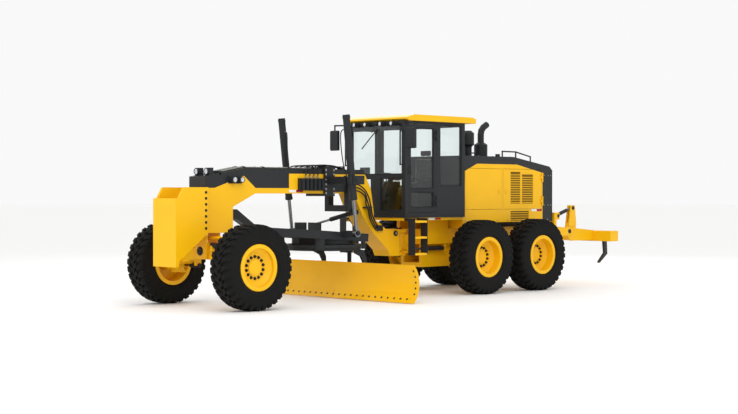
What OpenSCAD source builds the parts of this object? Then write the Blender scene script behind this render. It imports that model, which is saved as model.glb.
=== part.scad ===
// Motor grader with a front push block and a rear ripper, parked with its wheels straight.
// Millimetres. X points forward, Y to the left, Z up. Stations of the front machine are counted from the front
// axle and those of the rear machine from the tandem pivot. from_axle() and from_pivot() move them to the part's
// own origin, on the ground below the middle of its length.

/* [Wheels] */
// Distance from the front axle to the tandem pivot
wheelbase = 6165; // [6100:5:6230]
// Distance between the two axles of a tandem
tandem_spacing = 1540; // [1500:5:1580]
// Distance between the left and right tyre centres
track = 2210; // [2200:2:2260]
// Tyre diameter over the lugs
tyre_d = 1348; // [1330:2:1360]
// Tyre width
tyre_w = 445; // [430:1:450]
// Tread lug depth
lug_h = 26; // [18:1:30]
// Lugs round each half of the tread
lug_count = 20; // [16:4:20]
// Bead seat diameter of the rim
bead_d = 635; // [630:1:650]
// Flange diameter of the rim
flange_d = 730; // [710:1:750]
// Rim width between its flanges
rim_w = 356; // [340:1:370]
// Rim flange thickness
flange_t = 11; // [8:1:16]
// Rim wall thickness
rim_wall = 16; // [10:1:24]
// Depth of the front wheel disc behind the outer flange
front_disc_depth = 110; // [80:1:140]
// Depth of the tandem wheel disc behind the outer flange
rear_disc_depth = 200; // [170:1:220]
// Wheel disc thickness
disc_t = 22; // [14:1:30]
// How far the disc's edge sweeps outward
dish = 60; // [30:1:80]
// Hub diameter
hub_d = 250; // [220:2:280]
// How far the hub stands out of the disc
hub_cap = 14; // [8:1:24]
// Wheel spindle diameter
spindle_d = 90; // [80:1:94]

/* [Front axle] */
// Lean pivot distance from the middle
lean_y = 760; // [755:1:765]
// Lean pivot height
lean_z = 740; // [735:1:745]
// Lean pin diameter
lean_pin_d = 60; // [50:1:64]
// Lean bar height
lean_bar_z = 1110; // [1100:1:1120]
// Lean bar diameter
lean_bar_d = 56; // [40:1:60]
// Lean bar pin diameter
lean_bar_pin_d = 44; // [30:1:50]
// Kingpin distance from the middle
king_y = 900; // [896:1:904]
// Kingpin diameter
king_d = 70; // [50:1:80]
// Knuckle housing diameter
knuckle_d = 116; // [112:1:118]
// Steering arm reach behind the kingpin
arm_back = 130; // [125:1:135]
// Steering arm reach inside the kingpin
arm_in = 80; // [75:1:85]
// Steering arm thickness
arm_t = 35; // [25:1:40]
// Axle beam width
beam_w = 190; // [160:2:195]
// Axle pivot pin height
axle_pin_z = 900; // [890:1:910]
// Axle pivot pin diameter
axle_pin_d = 120; // [90:2:140]

/* [Front frame] */
// Front frame beam width
frame_w = 400; // [380:2:420]
// Front frame top height
frame_top = 2240; // [2220:2:2260]
// Front frame bottom height
frame_bottom = 1823; // [1810:1:1830]
// Front face of the frame's nose
nose_x = 217; // [205:1:230]
// Rear face of the nose bolster
bolster_x = -360; // [-380:1:-340]
// Bolster bottom height
bolster_z = 1190; // [1180:1:1200]
// Distance from the tandem pivot to the articulation pin
hinge_ahead = 1815; // [1805:1:1825]
// Articulation pin diameter
hinge_d = 120; // [90:2:140]
// Top of the upper hinge plate
hinge_top = 1180; // [1175:1:1190]
// Bottom of the lower hinge plate
hinge_bottom = 700; // [690:1:705]
// Hinge plate thickness
hinge_t = 70; // [60:1:75]
// Front face of the push block
front_reach = 850; // [830:1:880]
// Push block width
push_w = 600; // [560:2:600]
// Push block bottom height
push_bottom = 670; // [640:2:700]
// Push block top height
push_top = 1747; // [1700:2:1780]

/* [Blade] */
// Height of the drawbar ball
ball_z = 1490; // [1485:1:1495]
// Station of the drawbar ball
ball_x = -450; // [-455:1:-445]
// Drawbar ball diameter
ball_d = 110; // [90:2:120]
// Circle centre station
circle_x = -2500; // [-2510:1:-2490]
// Circle outside diameter
circle_d = 1400; // [1380:2:1420]
// Circle bottom height
circle_z = 850; // [840:1:855]
// Circle depth
circle_h = 100; // [90:1:104]
// Teeth inside the circle
tooth_count = 60; // [48:2:72]
// Depth of the circle's teeth
tooth_h = 30; // [20:1:36]
// Blade length
blade_l = 3962; // [3600:2:4270]
// Blade bottom height
blade_bottom = 12; // [8:1:20]
// Blade top height
blade_top = 645; // [630:1:650]
// Blade plate thickness
blade_t = 22; // [16:1:24]
// Blade face radius
blade_r = 440; // [430:1:450]
// Station of the blade's edges
blade_x = -2700; // [-2705:1:-2695]
// Pitch pivot station
pitch_x = -2990; // [-2995:1:-2985]
// Pitch pivot height
pitch_z = 160; // [155:1:165]

/* [Lift cylinders] */
// Lift cylinder distance from the middle
lift_y = 830; // [820:1:840]
// Trunnion station
trunnion_x = -2410; // [-2420:1:-2400]
// Trunnion height
trunnion_z = 2050; // [2040:1:2060]
// Lift eye station
lift_eye_x = -2520; // [-2530:1:-2510]
// Lift eye height
lift_eye_z = 1150; // [1140:1:1160]
// Lift barrel diameter
lift_barrel_d = 124; // [110:1:130]
// Lift rod diameter
lift_rod_d = 60; // [50:1:66]

/* [Cab] */
// Cab width
cab_w = 1500; // [1480:2:1520]
// Cab front station
cab_front = 2385; // [2375:1:2395]
// Cab rear station
cab_rear = 825; // [820:1:835]
// Door pillar station
cab_pillar = 1595; // [1565:1:1625]
// Cab floor bottom height
cab_bottom = 1395; // [1395:1:1400]
// Cab top, under the roof
cab_top = 3110; // [3090:1:3130]
// Cab wall thickness
cab_wall = 60; // [50:1:70]
// Roof thickness
roof_t = 110; // [90:1:120]
// Glass thickness
glass_t = 8; // [6:1:12]

/* [Hood] */
// Hood width
hood_w = 1300; // [1280:2:1320]
// Hood front station
hood_front = 785; // [775:1:790]
// Hood rear station
hood_rear = -1855; // [-1865:1:-1845]
// Hood bottom height
hood_bottom = 1283; // [1275:1:1290]
// Hood top height
hood_top = 2525; // [2500:1:2540]
// Hood skin thickness
hood_t = 30; // [24:1:36]
// Bottom of the engine doors
door_z = 1530; // [1510:1:1550]
// Split between the engine doors
door_split = -355; // [-395:1:-315]

/* [Ripper] */
// Distance from the tandem pivot to the ripper's rear end
rear_reach = 3485; // [3435:2:3535]
// Ripper pivot station
ripper_x = -2395; // [-2405:1:-2385]
// Ripper pivot height
ripper_z = 1074; // [1065:1:1085]
// Ripper arm distance from the middle
ripper_y = 600; // [590:1:610]

/* [Hidden] */
$fn = 64;
yellow = "#f2b705";
dark = "#2f3336";
steel = "#b9bdc0";
rubber = "#1c1c1d";
tint = "#5d6a70";
// Radial clearance of pins and rods in their bores
fit = 0.05;
// Clearance of a seat
gap = 0.3;
// Running clearance between moving faces
clear = 5;
front_axle_x = (wheelbase + rear_reach - front_reach) / 2;
hinge_x = hinge_ahead - wheelbase;
axle_z = tyre_d / 2;
mid_x = -wheelbase + tandem_spacing / 2;
rear_x = -wheelbase - tandem_spacing / 2;
rim_half = rim_w / 2 + flange_t;

module from_axle() translate([front_axle_x, 0, 0]) children();

module from_pivot() translate([front_axle_x - wheelbase, 0, 0]) children();

module pair() {
    children();
    mirror([0, 1, 0]) children();
}

module handed(side) {
    if (side > 0) children();
    else mirror([0, 1, 0]) children();
}

module block(a, b) translate(a) cube(b - a);

module bar_x(x0, x1, y, z, r) translate([x0, y, z]) rotate([0, 90, 0]) cylinder(r = r, h = x1 - x0);

module bar_y(x, y0, y1, z, r) translate([x, y0, z]) rotate([-90, 0, 0]) cylinder(r = r, h = y1 - y0);

module bar_z(x, y, z0, z1, r) translate([x, y, z0]) cylinder(r = r, h = z1 - z0);

// Round bar from one point to another
module bar(p, q, r) {
    d = q - p;
    translate(p) rotate([0, acos(d[2] / norm(d)), atan2(d[1], d[0])]) cylinder(r = r, h = norm(d));
}

// Side outline in X and Z, between two widths
module side(points, y0, y1) translate([0, y1, 0]) rotate([90, 0, 0]) linear_extrude(y1 - y0) polygon(points);

// Front outline in Y and Z, between two stations
module across(points, x0, x1) translate([x0, 0, 0]) rotate([90, 0, 90]) linear_extrude(x1 - x0) polygon(points);

// Wheels: local Z points outboard
module at_wheel(x, hand) translate([x, hand * track / 2, axle_z]) rotate([-90 * hand, 0, 0]) children();

// Tyre: a carcass with staggered lugs over both shoulders, in flat facets. Each half of the tread is a row of rings
// from the bore to the middle, and both halves share the ring of points at the lugs' feet.
lug_pitch = 360 / lug_count;
lug_half = 0.21 * lug_pitch;
tyre_bore = flange_d / 2 + 2 * gap;
tyre_wall = tyre_w / 2;
bore_t = tyre_wall - 38;
bulge_r = flange_d / 2 + 110;
foot_r = tyre_d / 2 - 89;
shoulder_r = tyre_d / 2 - 19;
shoulder_t = tyre_wall - 22;
tread_r = tyre_d / 2 / cos(lug_half);

function ring(r, t, angles) = [for (a = angles) [r * cos(a), r * sin(a), t]];

function lug_middles(half) = [for (i = [0:lug_count - 1]) (i + half / 2) * lug_pitch];

function lug_edges(half) = [for (a = lug_middles(half)) each [a - lug_half, a + lug_half]];

function quad(a, b, c, d) = [[a, b, c], [a, c, d]];

function half_points(half) = let (out = 1 - 2 * half, middles = lug_middles(half), edges = lug_edges(half)) concat(
    ring(tyre_bore / cos(lug_pitch / 2), out * bore_t, middles),
    ring(bulge_r, out * tyre_wall, middles),
    ring(foot_r, out * tyre_wall, edges),
    ring(shoulder_r, out * shoulder_t, edges),
    ring(shoulder_r - 0.8 * lug_h, out * (shoulder_t - 10), edges),
    ring(tread_r, 0, edges));

shared_points = ring(tread_r - lug_h, 0, [for (i = [0:lug_count - 1]) for (half = [0, 1])
    each [(i + half / 2) * lug_pitch - lug_half, (i + half / 2) * lug_pitch + lug_half]]);

// Faces of one pitch: a lug, the groove after it and the sidewall below them
function pitch_faces(half, i) = let (
    n = lug_count,
    first = 10 * n * half,
    j = (i + 1) % n,
    edges = [2 * i, 2 * i + 1, 2 * j],
    bore = [first + i, first + j],
    bulge = [first + n + i, first + n + j],
    foot = [for (e = edges) first + 2 * n + e],
    shoulder = [for (e = edges) first + 4 * n + e],
    groove = [for (e = edges) first + 6 * n + e],
    top = [for (e = edges) first + 8 * n + e],
    base = [for (k = [0:4]) 20 * n + (4 * i + 2 * half + k) % (4 * n)]
) concat(
    quad(bore[0], bore[1], bulge[1], bulge[0]),
    [[bulge[0], foot[1], foot[0]]],
    quad(bulge[0], bulge[1], foot[2], foot[1]),
    quad(foot[0], foot[1], shoulder[1], shoulder[0]),
    quad(foot[1], foot[2], groove[2], groove[1]),
    [[foot[1], groove[1], shoulder[1]], [foot[2], shoulder[2], groove[2]]],
    quad(shoulder[0], shoulder[1], top[1], top[0]),
    quad(shoulder[1], groove[1], base[1], top[1]),
    quad(groove[2], shoulder[2], top[2], base[4]),
    [[groove[1], base[2], base[1]], [groove[1], base[3], base[2]]],
    [[groove[1], groove[2], base[3]], [groove[2], base[4], base[3]]],
    quad(top[0], top[1], base[1], base[0]));

outer_faces = [for (i = [0:lug_count - 1]) each pitch_faces(0, i)];
inner_faces = [for (i = [0:lug_count - 1]) for (f = pitch_faces(1, i)) [f[2], f[1], f[0]]];
bore_faces = [for (i = [0:lug_count - 1]) let (j = (i + 1) % lug_count, far = 10 * lug_count)
    each [[j, i, far + i], [j, far + i, far + j]]];

module tyre(x, hand) color(rubber) from_axle() at_wheel(x, hand)
    polyhedron(concat(half_points(0), half_points(1), shared_points), concat(outer_faces, inner_faces, bore_faces));

// Rim: a flanged channel with a dished disc and a bored hub
disc_flat = 215;

module rim(x, hand, depth, hub_in) {
    bead = bead_d / 2;
    lip = flange_d / 2;
    inner = bead - rim_wall;
    sweep = inner + rim_wall / 2;
    face = rim_half - depth;
    color(yellow) from_axle() at_wheel(x, hand) difference() {
        rotate_extrude() {
            polygon([[inner, -rim_half], [lip, -rim_half], [lip, -rim_half + flange_t], [bead, -rim_half + flange_t],
                [bead, rim_half - flange_t], [lip, rim_half - flange_t], [lip, rim_half], [inner, rim_half]]);
            polygon([[0, face - disc_t], [sweep, face - disc_t], [sweep, face + dish], [disc_flat, face], [0, face]]);
            translate([0, hub_in]) square([hub_d / 2, face + hub_cap - hub_in]);
        }
        translate([0, 0, hub_in - 1]) cylinder(d = spindle_d + 2 * fit, h = face + 1 - hub_in);
    }
}

front_hub_in = king_y + knuckle_d / 2 + 10 - track / 2;
case_out = track / 2 - tyre_w / 2 - 25;
case_in = case_out - 220;
case_boss = 45;
rear_hub_in = case_out + case_boss + clear - track / 2;

// Door hinges: a pinned bracket on the fixed side, a strap with a knuckle on the door
hinge_pin_r = 10;
hinge_knuckle_r = 16;
hinge_out = 17;
hinge_h = 60;
hinge_strap = 50;

module hinge_bracket(x, face, z, dir) {
    y = face + hinge_out;
    for (dz = [-hinge_h - 0.5, hinge_h + 0.5]) {
        bar_z(x, y, z + dz - hinge_h / 2, z + dz + hinge_h / 2, hinge_knuckle_r);
        x0 = dir > 0 ? x : x - hinge_strap;
        block([x0, face - 2, z + dz - hinge_h / 2], [x0 + hinge_strap, y, z + dz + hinge_h / 2]);
    }
    bar_z(x, y, z - hinge_h, z + hinge_h, hinge_pin_r);
}

module hinge_leaf(x, face, z, dir) difference() {
    union() {
        bar_z(x, face + hinge_out, z - hinge_h / 2, z + hinge_h / 2, hinge_knuckle_r);
        x0 = dir > 0 ? x : x - hinge_strap;
        block([x0, face - 2, z - hinge_h / 2], [x0 + hinge_strap, face + hinge_out, z + hinge_h / 2]);
    }
    bar_z(x, face + hinge_out, z - hinge_h, z + hinge_h, hinge_pin_r + fit);
}

// Front axle, arched between the lean pivots
beam_top = [[-650, lean_z + 90], [-215, 950], [-120, 1000], [120, 1000], [215, 950], [650, lean_z + 90]];
beam_under = [[650, lean_z - 75], [250, 765], [-250, 765], [-650, lean_z - 75]];
ear_t = 35;
yoke_half = 100;
// The lean bar's pins lie over the lean pivots, so that both wheels lean alike
lean_bar_y = lean_y;
steer_z = 644;
steer_base = [-130, 375];
steer_eye = [-arm_back, king_y - arm_in];
steer_barrel_d = 76;
steer_barrel_l = 230;
steer_rod_d = 36;
lean_cyl_x = 90;
lean_cyl_z = 1000;
lean_barrel_y = [215, 480];
lean_eye_y = lean_bar_y - 25;
lean_rod_d = 36;

// Steering cylinders lie along this direction
function steer_point(t) = [steer_base[0] + t * steer_dir[0], steer_base[1] + t * steer_dir[1], steer_z];
steer_len = norm(steer_eye - steer_base);
steer_dir = (steer_eye - steer_base) / steer_len;

module front_axle() color(dark) from_axle() difference() {
    union() {
        across(concat(beam_top, beam_under), -beam_w / 2, beam_w / 2);
        bar_x(-105, 105, 0, axle_pin_z, 135);
        pair() {
            block([-yoke_half - clear - ear_t, 560, lean_z - 70], [yoke_half + clear + ear_t, 655, lean_z + 90]);
            for (s = [-1, 1]) {
                x0 = s * (yoke_half + clear + ear_t / 2) - ear_t / 2;
                block([x0, 640, lean_z - 70], [x0 + ear_t, lean_y, lean_z + 70]);
                bar_x(x0, x0 + ear_t, lean_y, lean_z, 75);
            }
            bar_x(-yoke_half - clear - ear_t, yoke_half + clear + ear_t, lean_y, lean_z, lean_pin_d / 2);
            block([-170, 390, steer_z], [-60, 435, 790]);
        }
        block([lean_cyl_x - 38, 230, 900], [lean_cyl_x + 38, 275, lean_cyl_z]);
    }
    bar_x(-110, 110, 0, axle_pin_z, axle_pin_d / 2 + fit);
    pair() bar(steer_point(-5), steer_point(steer_barrel_l), steer_barrel_d / 2 + gap);
    bar_y(lean_cyl_x, lean_barrel_y[0] - 1, lean_barrel_y[1], lean_cyl_z, steer_barrel_d / 2 + gap);
}

module axle_cylinders() color(dark) from_axle() difference() {
    union() {
        pair() bar(steer_point(0), steer_point(steer_barrel_l), steer_barrel_d / 2);
        bar_y(lean_cyl_x, lean_barrel_y[0], lean_barrel_y[1], lean_cyl_z, steer_barrel_d / 2);
    }
    pair() bar(steer_point(20), steer_point(steer_barrel_l + 1), steer_rod_d / 2 + fit);
    bar_y(lean_cyl_x, lean_barrel_y[0] + 20, lean_barrel_y[1] + 1, lean_cyl_z, lean_rod_d / 2 + fit);
}

module steer_rod(hand) color(steel) from_axle() handed(hand) {
    bar(steer_point(112), steer_point(steer_len), steer_rod_d / 2);
    bar_z(steer_eye[0], steer_eye[1], steer_z - 22, steer_z + 14, 30);
}

module lean_rod() color(steel) from_axle() {
    bar_y(lean_cyl_x, 340, lean_eye_y, lean_cyl_z, lean_rod_d / 2);
    bar_x(lean_cyl_x - 22, lean_cyl_x + 22, lean_eye_y, lean_cyl_z, 34);
}

module lean_yoke(hand) color(dark) from_axle() handed(hand) difference() {
    union() {
        bar_x(-yoke_half, yoke_half, lean_y, lean_z, 62);
        block([-60, lean_y - 55, 565], [60, king_y - knuckle_d / 2 - 7, lean_z]);
        block([-60, lean_y - 55, 565], [60, king_y, 605]);
        bar_z(0, king_y, 565, 605, 60);
        block([-60, lean_y - 40, 775], [60, king_y, 805]);
        bar_z(0, king_y, 775, 805, 60);
        block([-50, lean_bar_y - 45, lean_z], [50, lean_y + 5, lean_bar_z - 65]);
        for (x = [-60, 36])
            block([x, lean_bar_y - 45, lean_bar_z - 75], [x + 24, lean_bar_y + 45, lean_bar_z + 45]);
        bar_x(-60, 60, lean_bar_y, lean_bar_z, lean_bar_pin_d / 2);
    }
    bar_x(-yoke_half - 1, yoke_half + 1, lean_y, lean_z, lean_pin_d / 2 + fit);
    bar_z(0, king_y, 560, 810, king_d / 2 + fit);
    bar_z(0, king_y, 605, 775, knuckle_d / 2 + clear);
}

module lean_bar() color(dark) from_axle() difference() {
    union() {
        bar_y(0, -lean_bar_y, lean_bar_y, lean_bar_z, lean_bar_d / 2);
        pair() bar_x(-30, 30, lean_bar_y, lean_bar_z, 44);
    }
    pair() bar_x(-31, 31, lean_bar_y, lean_bar_z, lean_bar_pin_d / 2 + fit);
}

// Steering arms lie under the lean yokes, at the kingpins' feet
arm_z = 525;

module knuckle(hand, depth = front_disc_depth) color(dark) from_axle() handed(hand) {
    bar_z(0, king_y, 610, 770, knuckle_d / 2);
    bar_z(0, king_y, arm_z - 1, 805, king_d / 2);
    bar_y(0, king_y, king_y + knuckle_d / 2 + clear, axle_z, knuckle_d / 2 - 7);
    bar_y(0, king_y, track / 2 + rim_half - depth - 15, axle_z, spindle_d / 2);
    bar_z(0, king_y, arm_z - 3, arm_z + arm_t + 2, 45);
    bar_z(-arm_back, king_y - arm_in, arm_z - 3, arm_z + arm_t + 3, 38);
    translate([0, king_y, arm_z]) rotate([0, 0, 180 + atan2(arm_in, arm_back)])
        translate([0, -30, 0]) cube([norm([arm_back, arm_in]), 60, arm_t]);
}

// Front frame: nose, box beam, gooseneck and hinge plates
neck_x = hinge_x + 160;
nose_z = 2095;
nose_end = -600;
neck_top = [[1070, frame_top], [880, 1900], [810, 1500], [800, 1360], [670, 1310], [510, hinge_top + 10]];
neck_under = [[400, hinge_bottom], [450, 810], [820, 1120], [1100, 1460], [1290, frame_bottom]];
// The neck's outlines are counted from the articulation pin
frame_outline = concat([[nose_x, nose_z], [nose_end, frame_top]],
    [for (p = neck_top) [hinge_x + p[0], p[1]]], [[neck_x, hinge_top], [neck_x, hinge_bottom]],
    [for (p = neck_under) [hinge_x + p[0], p[1]]], [[-830, frame_bottom],
    [bolster_x, 1607], [bolster_x, bolster_z], [nose_x, bolster_z]]);

module front_frame() color(yellow) from_axle() difference() {
    union() {
        side(frame_outline, -frame_w / 2, frame_w / 2);
        for (x = [-150, 110]) block([x, -140, 770], [x + 40, 140, bolster_z + 1]);
        bar_x(-150, 150, 0, axle_pin_z, axle_pin_d / 2);
        bar_x(ball_x, bolster_x + 5, 0, ball_z, 30);
        translate([ball_x, 0, ball_z]) sphere(d = ball_d);
        for (z = [hinge_bottom, hinge_top - hinge_t]) {
            block([hinge_x, -150, z], [neck_x + 5, 150, z + hinge_t]);
            bar_z(hinge_x, 0, z, z + hinge_t, 150);
        }
        pair() block([hinge_x - 45, 145, art_z - 70], [hinge_x + 45, art_y + 50, art_z - 25 - clear]);
    }
    bar_z(hinge_x, 0, hinge_bottom - 1, hinge_top + 1, hinge_d / 2 + fit);
}

module push_block() color(yellow) from_axle() {
    half = push_w / 2;
    block([front_reach - 60, -half, push_bottom], [front_reach, half, push_top]);
    pair() side([[nose_x + gap, 1190], [front_reach - 60, 760], [front_reach - 55, push_top], [690, 1920],
        [nose_x + gap, 1920]], half - 45, half);
    block([nose_x + gap, -half, 1200], [nose_x + 40, half, 1900]);
}

// Height of the nose's sloped top at a station
function nose_top(x) = nose_z + (nose_x - x) * (frame_top - nose_z) / (nose_x - nose_end);

// Lamps and hydraulic valves on the frame
lamp_x = [-475, -321];
lamp_z = 2044;
lamp_r = 46;
head_x = [30, 110];
head_y = [70, 190];
head_top = 2235;
valve_x = [-2300, -1750];
valve_z = [1870, 2080];
spool_pitch = 90;

module frame_fittings() color(dark) from_axle() pair() {
    face = frame_w / 2 + gap;
    head_mid = (head_y[0] + head_y[1]) / 2;
    side([[head_x[0], nose_top(head_x[0]) + gap], [head_x[1], nose_top(head_x[1]) + gap], [head_x[1], head_top],
        [head_x[0], head_top]], head_y[0], head_y[1]);
    bar_x(head_x[1] - 10, head_x[1] + 18, head_mid, head_top - 59, 52);
    block([lamp_x[0] - 60, face, lamp_z - 60], [lamp_x[1] + 60, face + 14, lamp_z + 60]);
    for (x = lamp_x) bar_y(x, face + 12, face + 100, lamp_z, lamp_r);
    block([valve_x[0], face, valve_z[0]], [valve_x[1], face + 70, valve_z[1]]);
    for (x = [valve_x[0] + 30:spool_pitch:valve_x[1] - 60])
        block([x, face + 65, valve_z[0] + 20], [x + 50, face + 105, valve_z[1] - 20]);
}

// Saddle with the lift yokes and the centre-shift bar
saddle_x = [-2560, -2330];
shift_pin = [-2990, 300, 1500];
shift_eye = [-2990, -810, 1260];

module saddle() color(dark) from_axle() difference() {
    union() {
        difference() {
            block([saddle_x[0], -frame_w / 2 - 45, frame_bottom - 45],
                [saddle_x[1], frame_w / 2 + 45, frame_top + 45]);
            block([saddle_x[0] - 1, -frame_w / 2 - gap, frame_bottom - gap],
                [saddle_x[1] + 1, frame_w / 2 + gap, frame_top + gap]);
        }
        pair() {
            block([-2560, frame_w / 2 + 40, 1990], [-2400, lift_y - 95, 2110]);
            difference() {
                block([-2580, lift_y - 130, 1975], [-2345, lift_y + 130, 2125]);
                block([-2540, lift_y - 95, 1970], [-2340, lift_y + 95, 2130]);
            }
            block([-2940, frame_w / 2 + gap, 1850], [-2330, frame_w / 2 + 45, 2080]);
            block([-2940, frame_w / 2 + gap, 1510], [-2820, frame_w / 2 + 100, 2080]);
        }
        block([-2940, -frame_w / 2 - 100, 1510], [-2820, frame_w / 2 + 100, 1620]);
        bar_x(shift_pin[0] - 45, -2935, shift_pin[1], shift_pin[2], 22);
        block([-2941, shift_pin[1] - 45, shift_pin[2] - 45], [-2900, shift_pin[1] + 45, shift_pin[2] + 60]);
    }
    pair() bar_y(trunnion_x, lift_y - 140, lift_y + 140, trunnion_z, 32 + fit);
}

lift_len = norm([trunnion_x - lift_eye_x, trunnion_z - lift_eye_z]);
lift_dir = [trunnion_x - lift_eye_x, trunnion_z - lift_eye_z] / lift_len;

function lift_point(t) = [trunnion_x + t * lift_dir[0], lift_y, trunnion_z + t * lift_dir[1]];

module lift_barrels() color(dark) from_axle() pair() difference() {
    union() {
        bar(lift_point(-330), lift_point(1105), lift_barrel_d / 2);
        bar(lift_point(-55), lift_point(55), 85);
        bar_y(trunnion_x, lift_y - 130, lift_y + 130, trunnion_z, 32);
    }
    bar(lift_point(-331), lift_point(1060), lift_rod_d / 2 + fit);
}

module lift_rods() color(steel) from_axle() pair() difference() {
    union() {
        bar(lift_point(-lift_len + 55), lift_point(300), lift_rod_d / 2);
        bar_y(lift_eye_x, lift_y - 34, lift_y + 34, lift_eye_z, 65);
    }
    bar_y(lift_eye_x, lift_y - 35, lift_y + 35, lift_eye_z, 42);
}

shift_dir = (shift_eye - shift_pin) / norm(shift_eye - shift_pin);

module shift_barrel() color(dark) from_axle() difference() {
    union() {
        bar(shift_pin + 30 * shift_dir, shift_pin + 640 * shift_dir, 40);
        bar_x(shift_pin[0] - 40, shift_pin[0] + 40, shift_pin[1], shift_pin[2], 48);
    }
    bar_x(shift_pin[0] - 50, shift_pin[0] + 41, shift_pin[1], shift_pin[2], 22 + fit);
    bar(shift_pin + 60 * shift_dir, shift_pin + 641 * shift_dir, 22 + fit);
}

module shift_rod() color(steel) from_axle() {
    bar(shift_pin + 330 * shift_dir, shift_eye - 30 * shift_dir, 22);
    bar_x(shift_eye[0] - 18, shift_eye[0] + 18, shift_eye[1], shift_eye[2], 45);
}

// Drawbar: a socket at the ball, a tongue and two rails over the circle
draw_x = -1150;
draw_z = 1190;
draw_slope = 4;
rail_in = 425;
rail_out = 545;
draw_t = 140;
circle_r = circle_d / 2;
ring_in = circle_r - 110;
ring_rim = circle_r - 40;
rim_z = circle_z + 50;
ring_top = circle_z + circle_h;

module ring_segment(r0, r1, z0, z1) translate([circle_x, 0, z0]) difference() {
    cylinder(r = r1, h = z1 - z0, $fn = 128);
    translate([0, 0, -1]) cylinder(r = r0, h = z1 - z0 + 2, $fn = 128);
}

pinion_r = 45;
pinion_x = circle_x + ring_in - tooth_h - clear - pinion_r;
drive_z = [1060, 1330];

module drawbar() color(dark) from_axle() {
    drawbar_weldment();
    bar_z(pinion_x, 0, circle_z + 10, drive_z[0] + 5, pinion_r);
}

module drawbar_weldment() difference() {
    union() {
        side([[-545, ball_z + 75], [-430, ball_z + 75], [-430, ball_z - 75], [-560, ball_z - 90], [-1000, 1135],
            [-1300, 1150], [-1300, 1225], [-950, 1290]], -75, 75);
        translate([draw_x, 0, draw_z]) rotate([0, -draw_slope, 0]) translate([0, 0, -draw_t / 2])
            linear_extrude(draw_t) difference() {
                polygon([[0, -85], [0, 85], [-800, rail_out], [-1930, rail_out], [-1930, -rail_out],
                    [-800, -rail_out]]);
                polygon([[-200, -40], [-200, 40], [-680, 300], [-680, -300]]);
                polygon([[-860, -rail_in], [-860, rail_in], [-1490, rail_in], [-1490, -rail_in]]);
                polygon([[-1590, -rail_in], [-1590, rail_in], [-1931, rail_in], [-1931, -rail_in]]);
            }
        for (x = [-2060, -3070]) intersection() {
            ring_segment(ring_rim + clear, circle_r + 45, rim_z - 32, ring_top + 120);
            pair() block([x, rail_in + 5, 800], [x + 130, rail_out - 5, 1100]);
        }
        pair() {
            block([lift_eye_x - 60, rail_out - 20, lift_eye_z - 70], [lift_eye_x + 60, lift_y - 60, lift_eye_z + 40]);
            bar_y(lift_eye_x, lift_y - 70, lift_y + 45, lift_eye_z, 25);
        }
        block([-2945, -850, 1050], [-2915, -rail_out + 20, shift_eye[2] + 45]);
        bar_z(pinion_x, 0, drive_z[0], drive_z[1], 105);
    }
    translate([ball_x, 0, ball_z]) sphere(d = ball_d + 2 * fit);
    bar_z(circle_x, 0, rim_z - gap, ring_top + clear, circle_r + gap);
}

// Circle: a rimmed ring with the two blade arms and the pitch barrel
arm_y = [500, 540];
pitch_rod_x = pitch_x - 145;

tooth_pitch = 360 / tooth_count;
// One tooth, as radius and share of the pitch
tooth = [[ring_in, -0.34], [ring_in - tooth_h, -0.16], [ring_in - tooth_h, 0.16], [ring_in, 0.34]];
blank_in = ring_in - 2 * tooth_h;

module circle_ring() translate([circle_x, 0, circle_z]) difference() {
    rotate_extrude($fn = 128) polygon([[blank_in, 0], [ring_rim, 0], [ring_rim, 50], [circle_r, 50],
        [circle_r, circle_h], [blank_in, circle_h]]);
    translate([0, 0, -1]) linear_extrude(circle_h + 2) polygon([for (i = [0:tooth_count - 1]) for (p = tooth)
        p[0] * [cos((i + p[1]) * tooth_pitch), sin((i + p[1]) * tooth_pitch)]]);
}

module circle_node() color(dark) from_axle() difference() {
    union() {
        circle_ring();
        pair() {
            side([[-2760, circle_z + 2], [-2960, circle_z + 2], [pitch_x - 50, 700], [pitch_x - 50, 120],
                [pitch_x + 30, 120], [pitch_x + 30, 640], [-2900, 740], [-2760, 800]], arm_y[0], arm_y[1]);
            bar_y(pitch_x, arm_y[0] - 50, arm_y[1], pitch_z, 25);
        }
        block([pitch_rod_x - 45, -45, 780], [pitch_rod_x + 45, 45, circle_z + 2]);
        bar_z(pitch_rod_x, 0, 540, 800, 38);
    }
    bar_z(pitch_rod_x, 0, 539, 770, 20 + fit);
}

module pitch_rod() color(steel) from_axle() {
    bar_z(pitch_rod_x, 0, pitch_z, 660, 20);
    bar_y(pitch_rod_x, -17, 17, pitch_z, 32);
}

// Blade: carrier with rail guides, and the curved moldboard
rail_z = [200, 480];
rail_head_x = [-2910, -2885];
blade_mid = (blade_top + blade_bottom) / 2;
blade_half = (blade_top - blade_bottom) / 2;
blade_axis = blade_x + sqrt(blade_r * blade_r - blade_half * blade_half);
shift_x = -2896;
shift_z = 340;

module rails(grow) for (z = rail_z) {
    block([rail_head_x[0] - grow, -1300, z - 40 - grow], [rail_head_x[1] + grow, 1300, z + 40 + grow]);
    block([rail_head_x[1] - 1, -1300, z - 15 - grow], [-2830, 1300, z + 15 + grow]);
}

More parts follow.
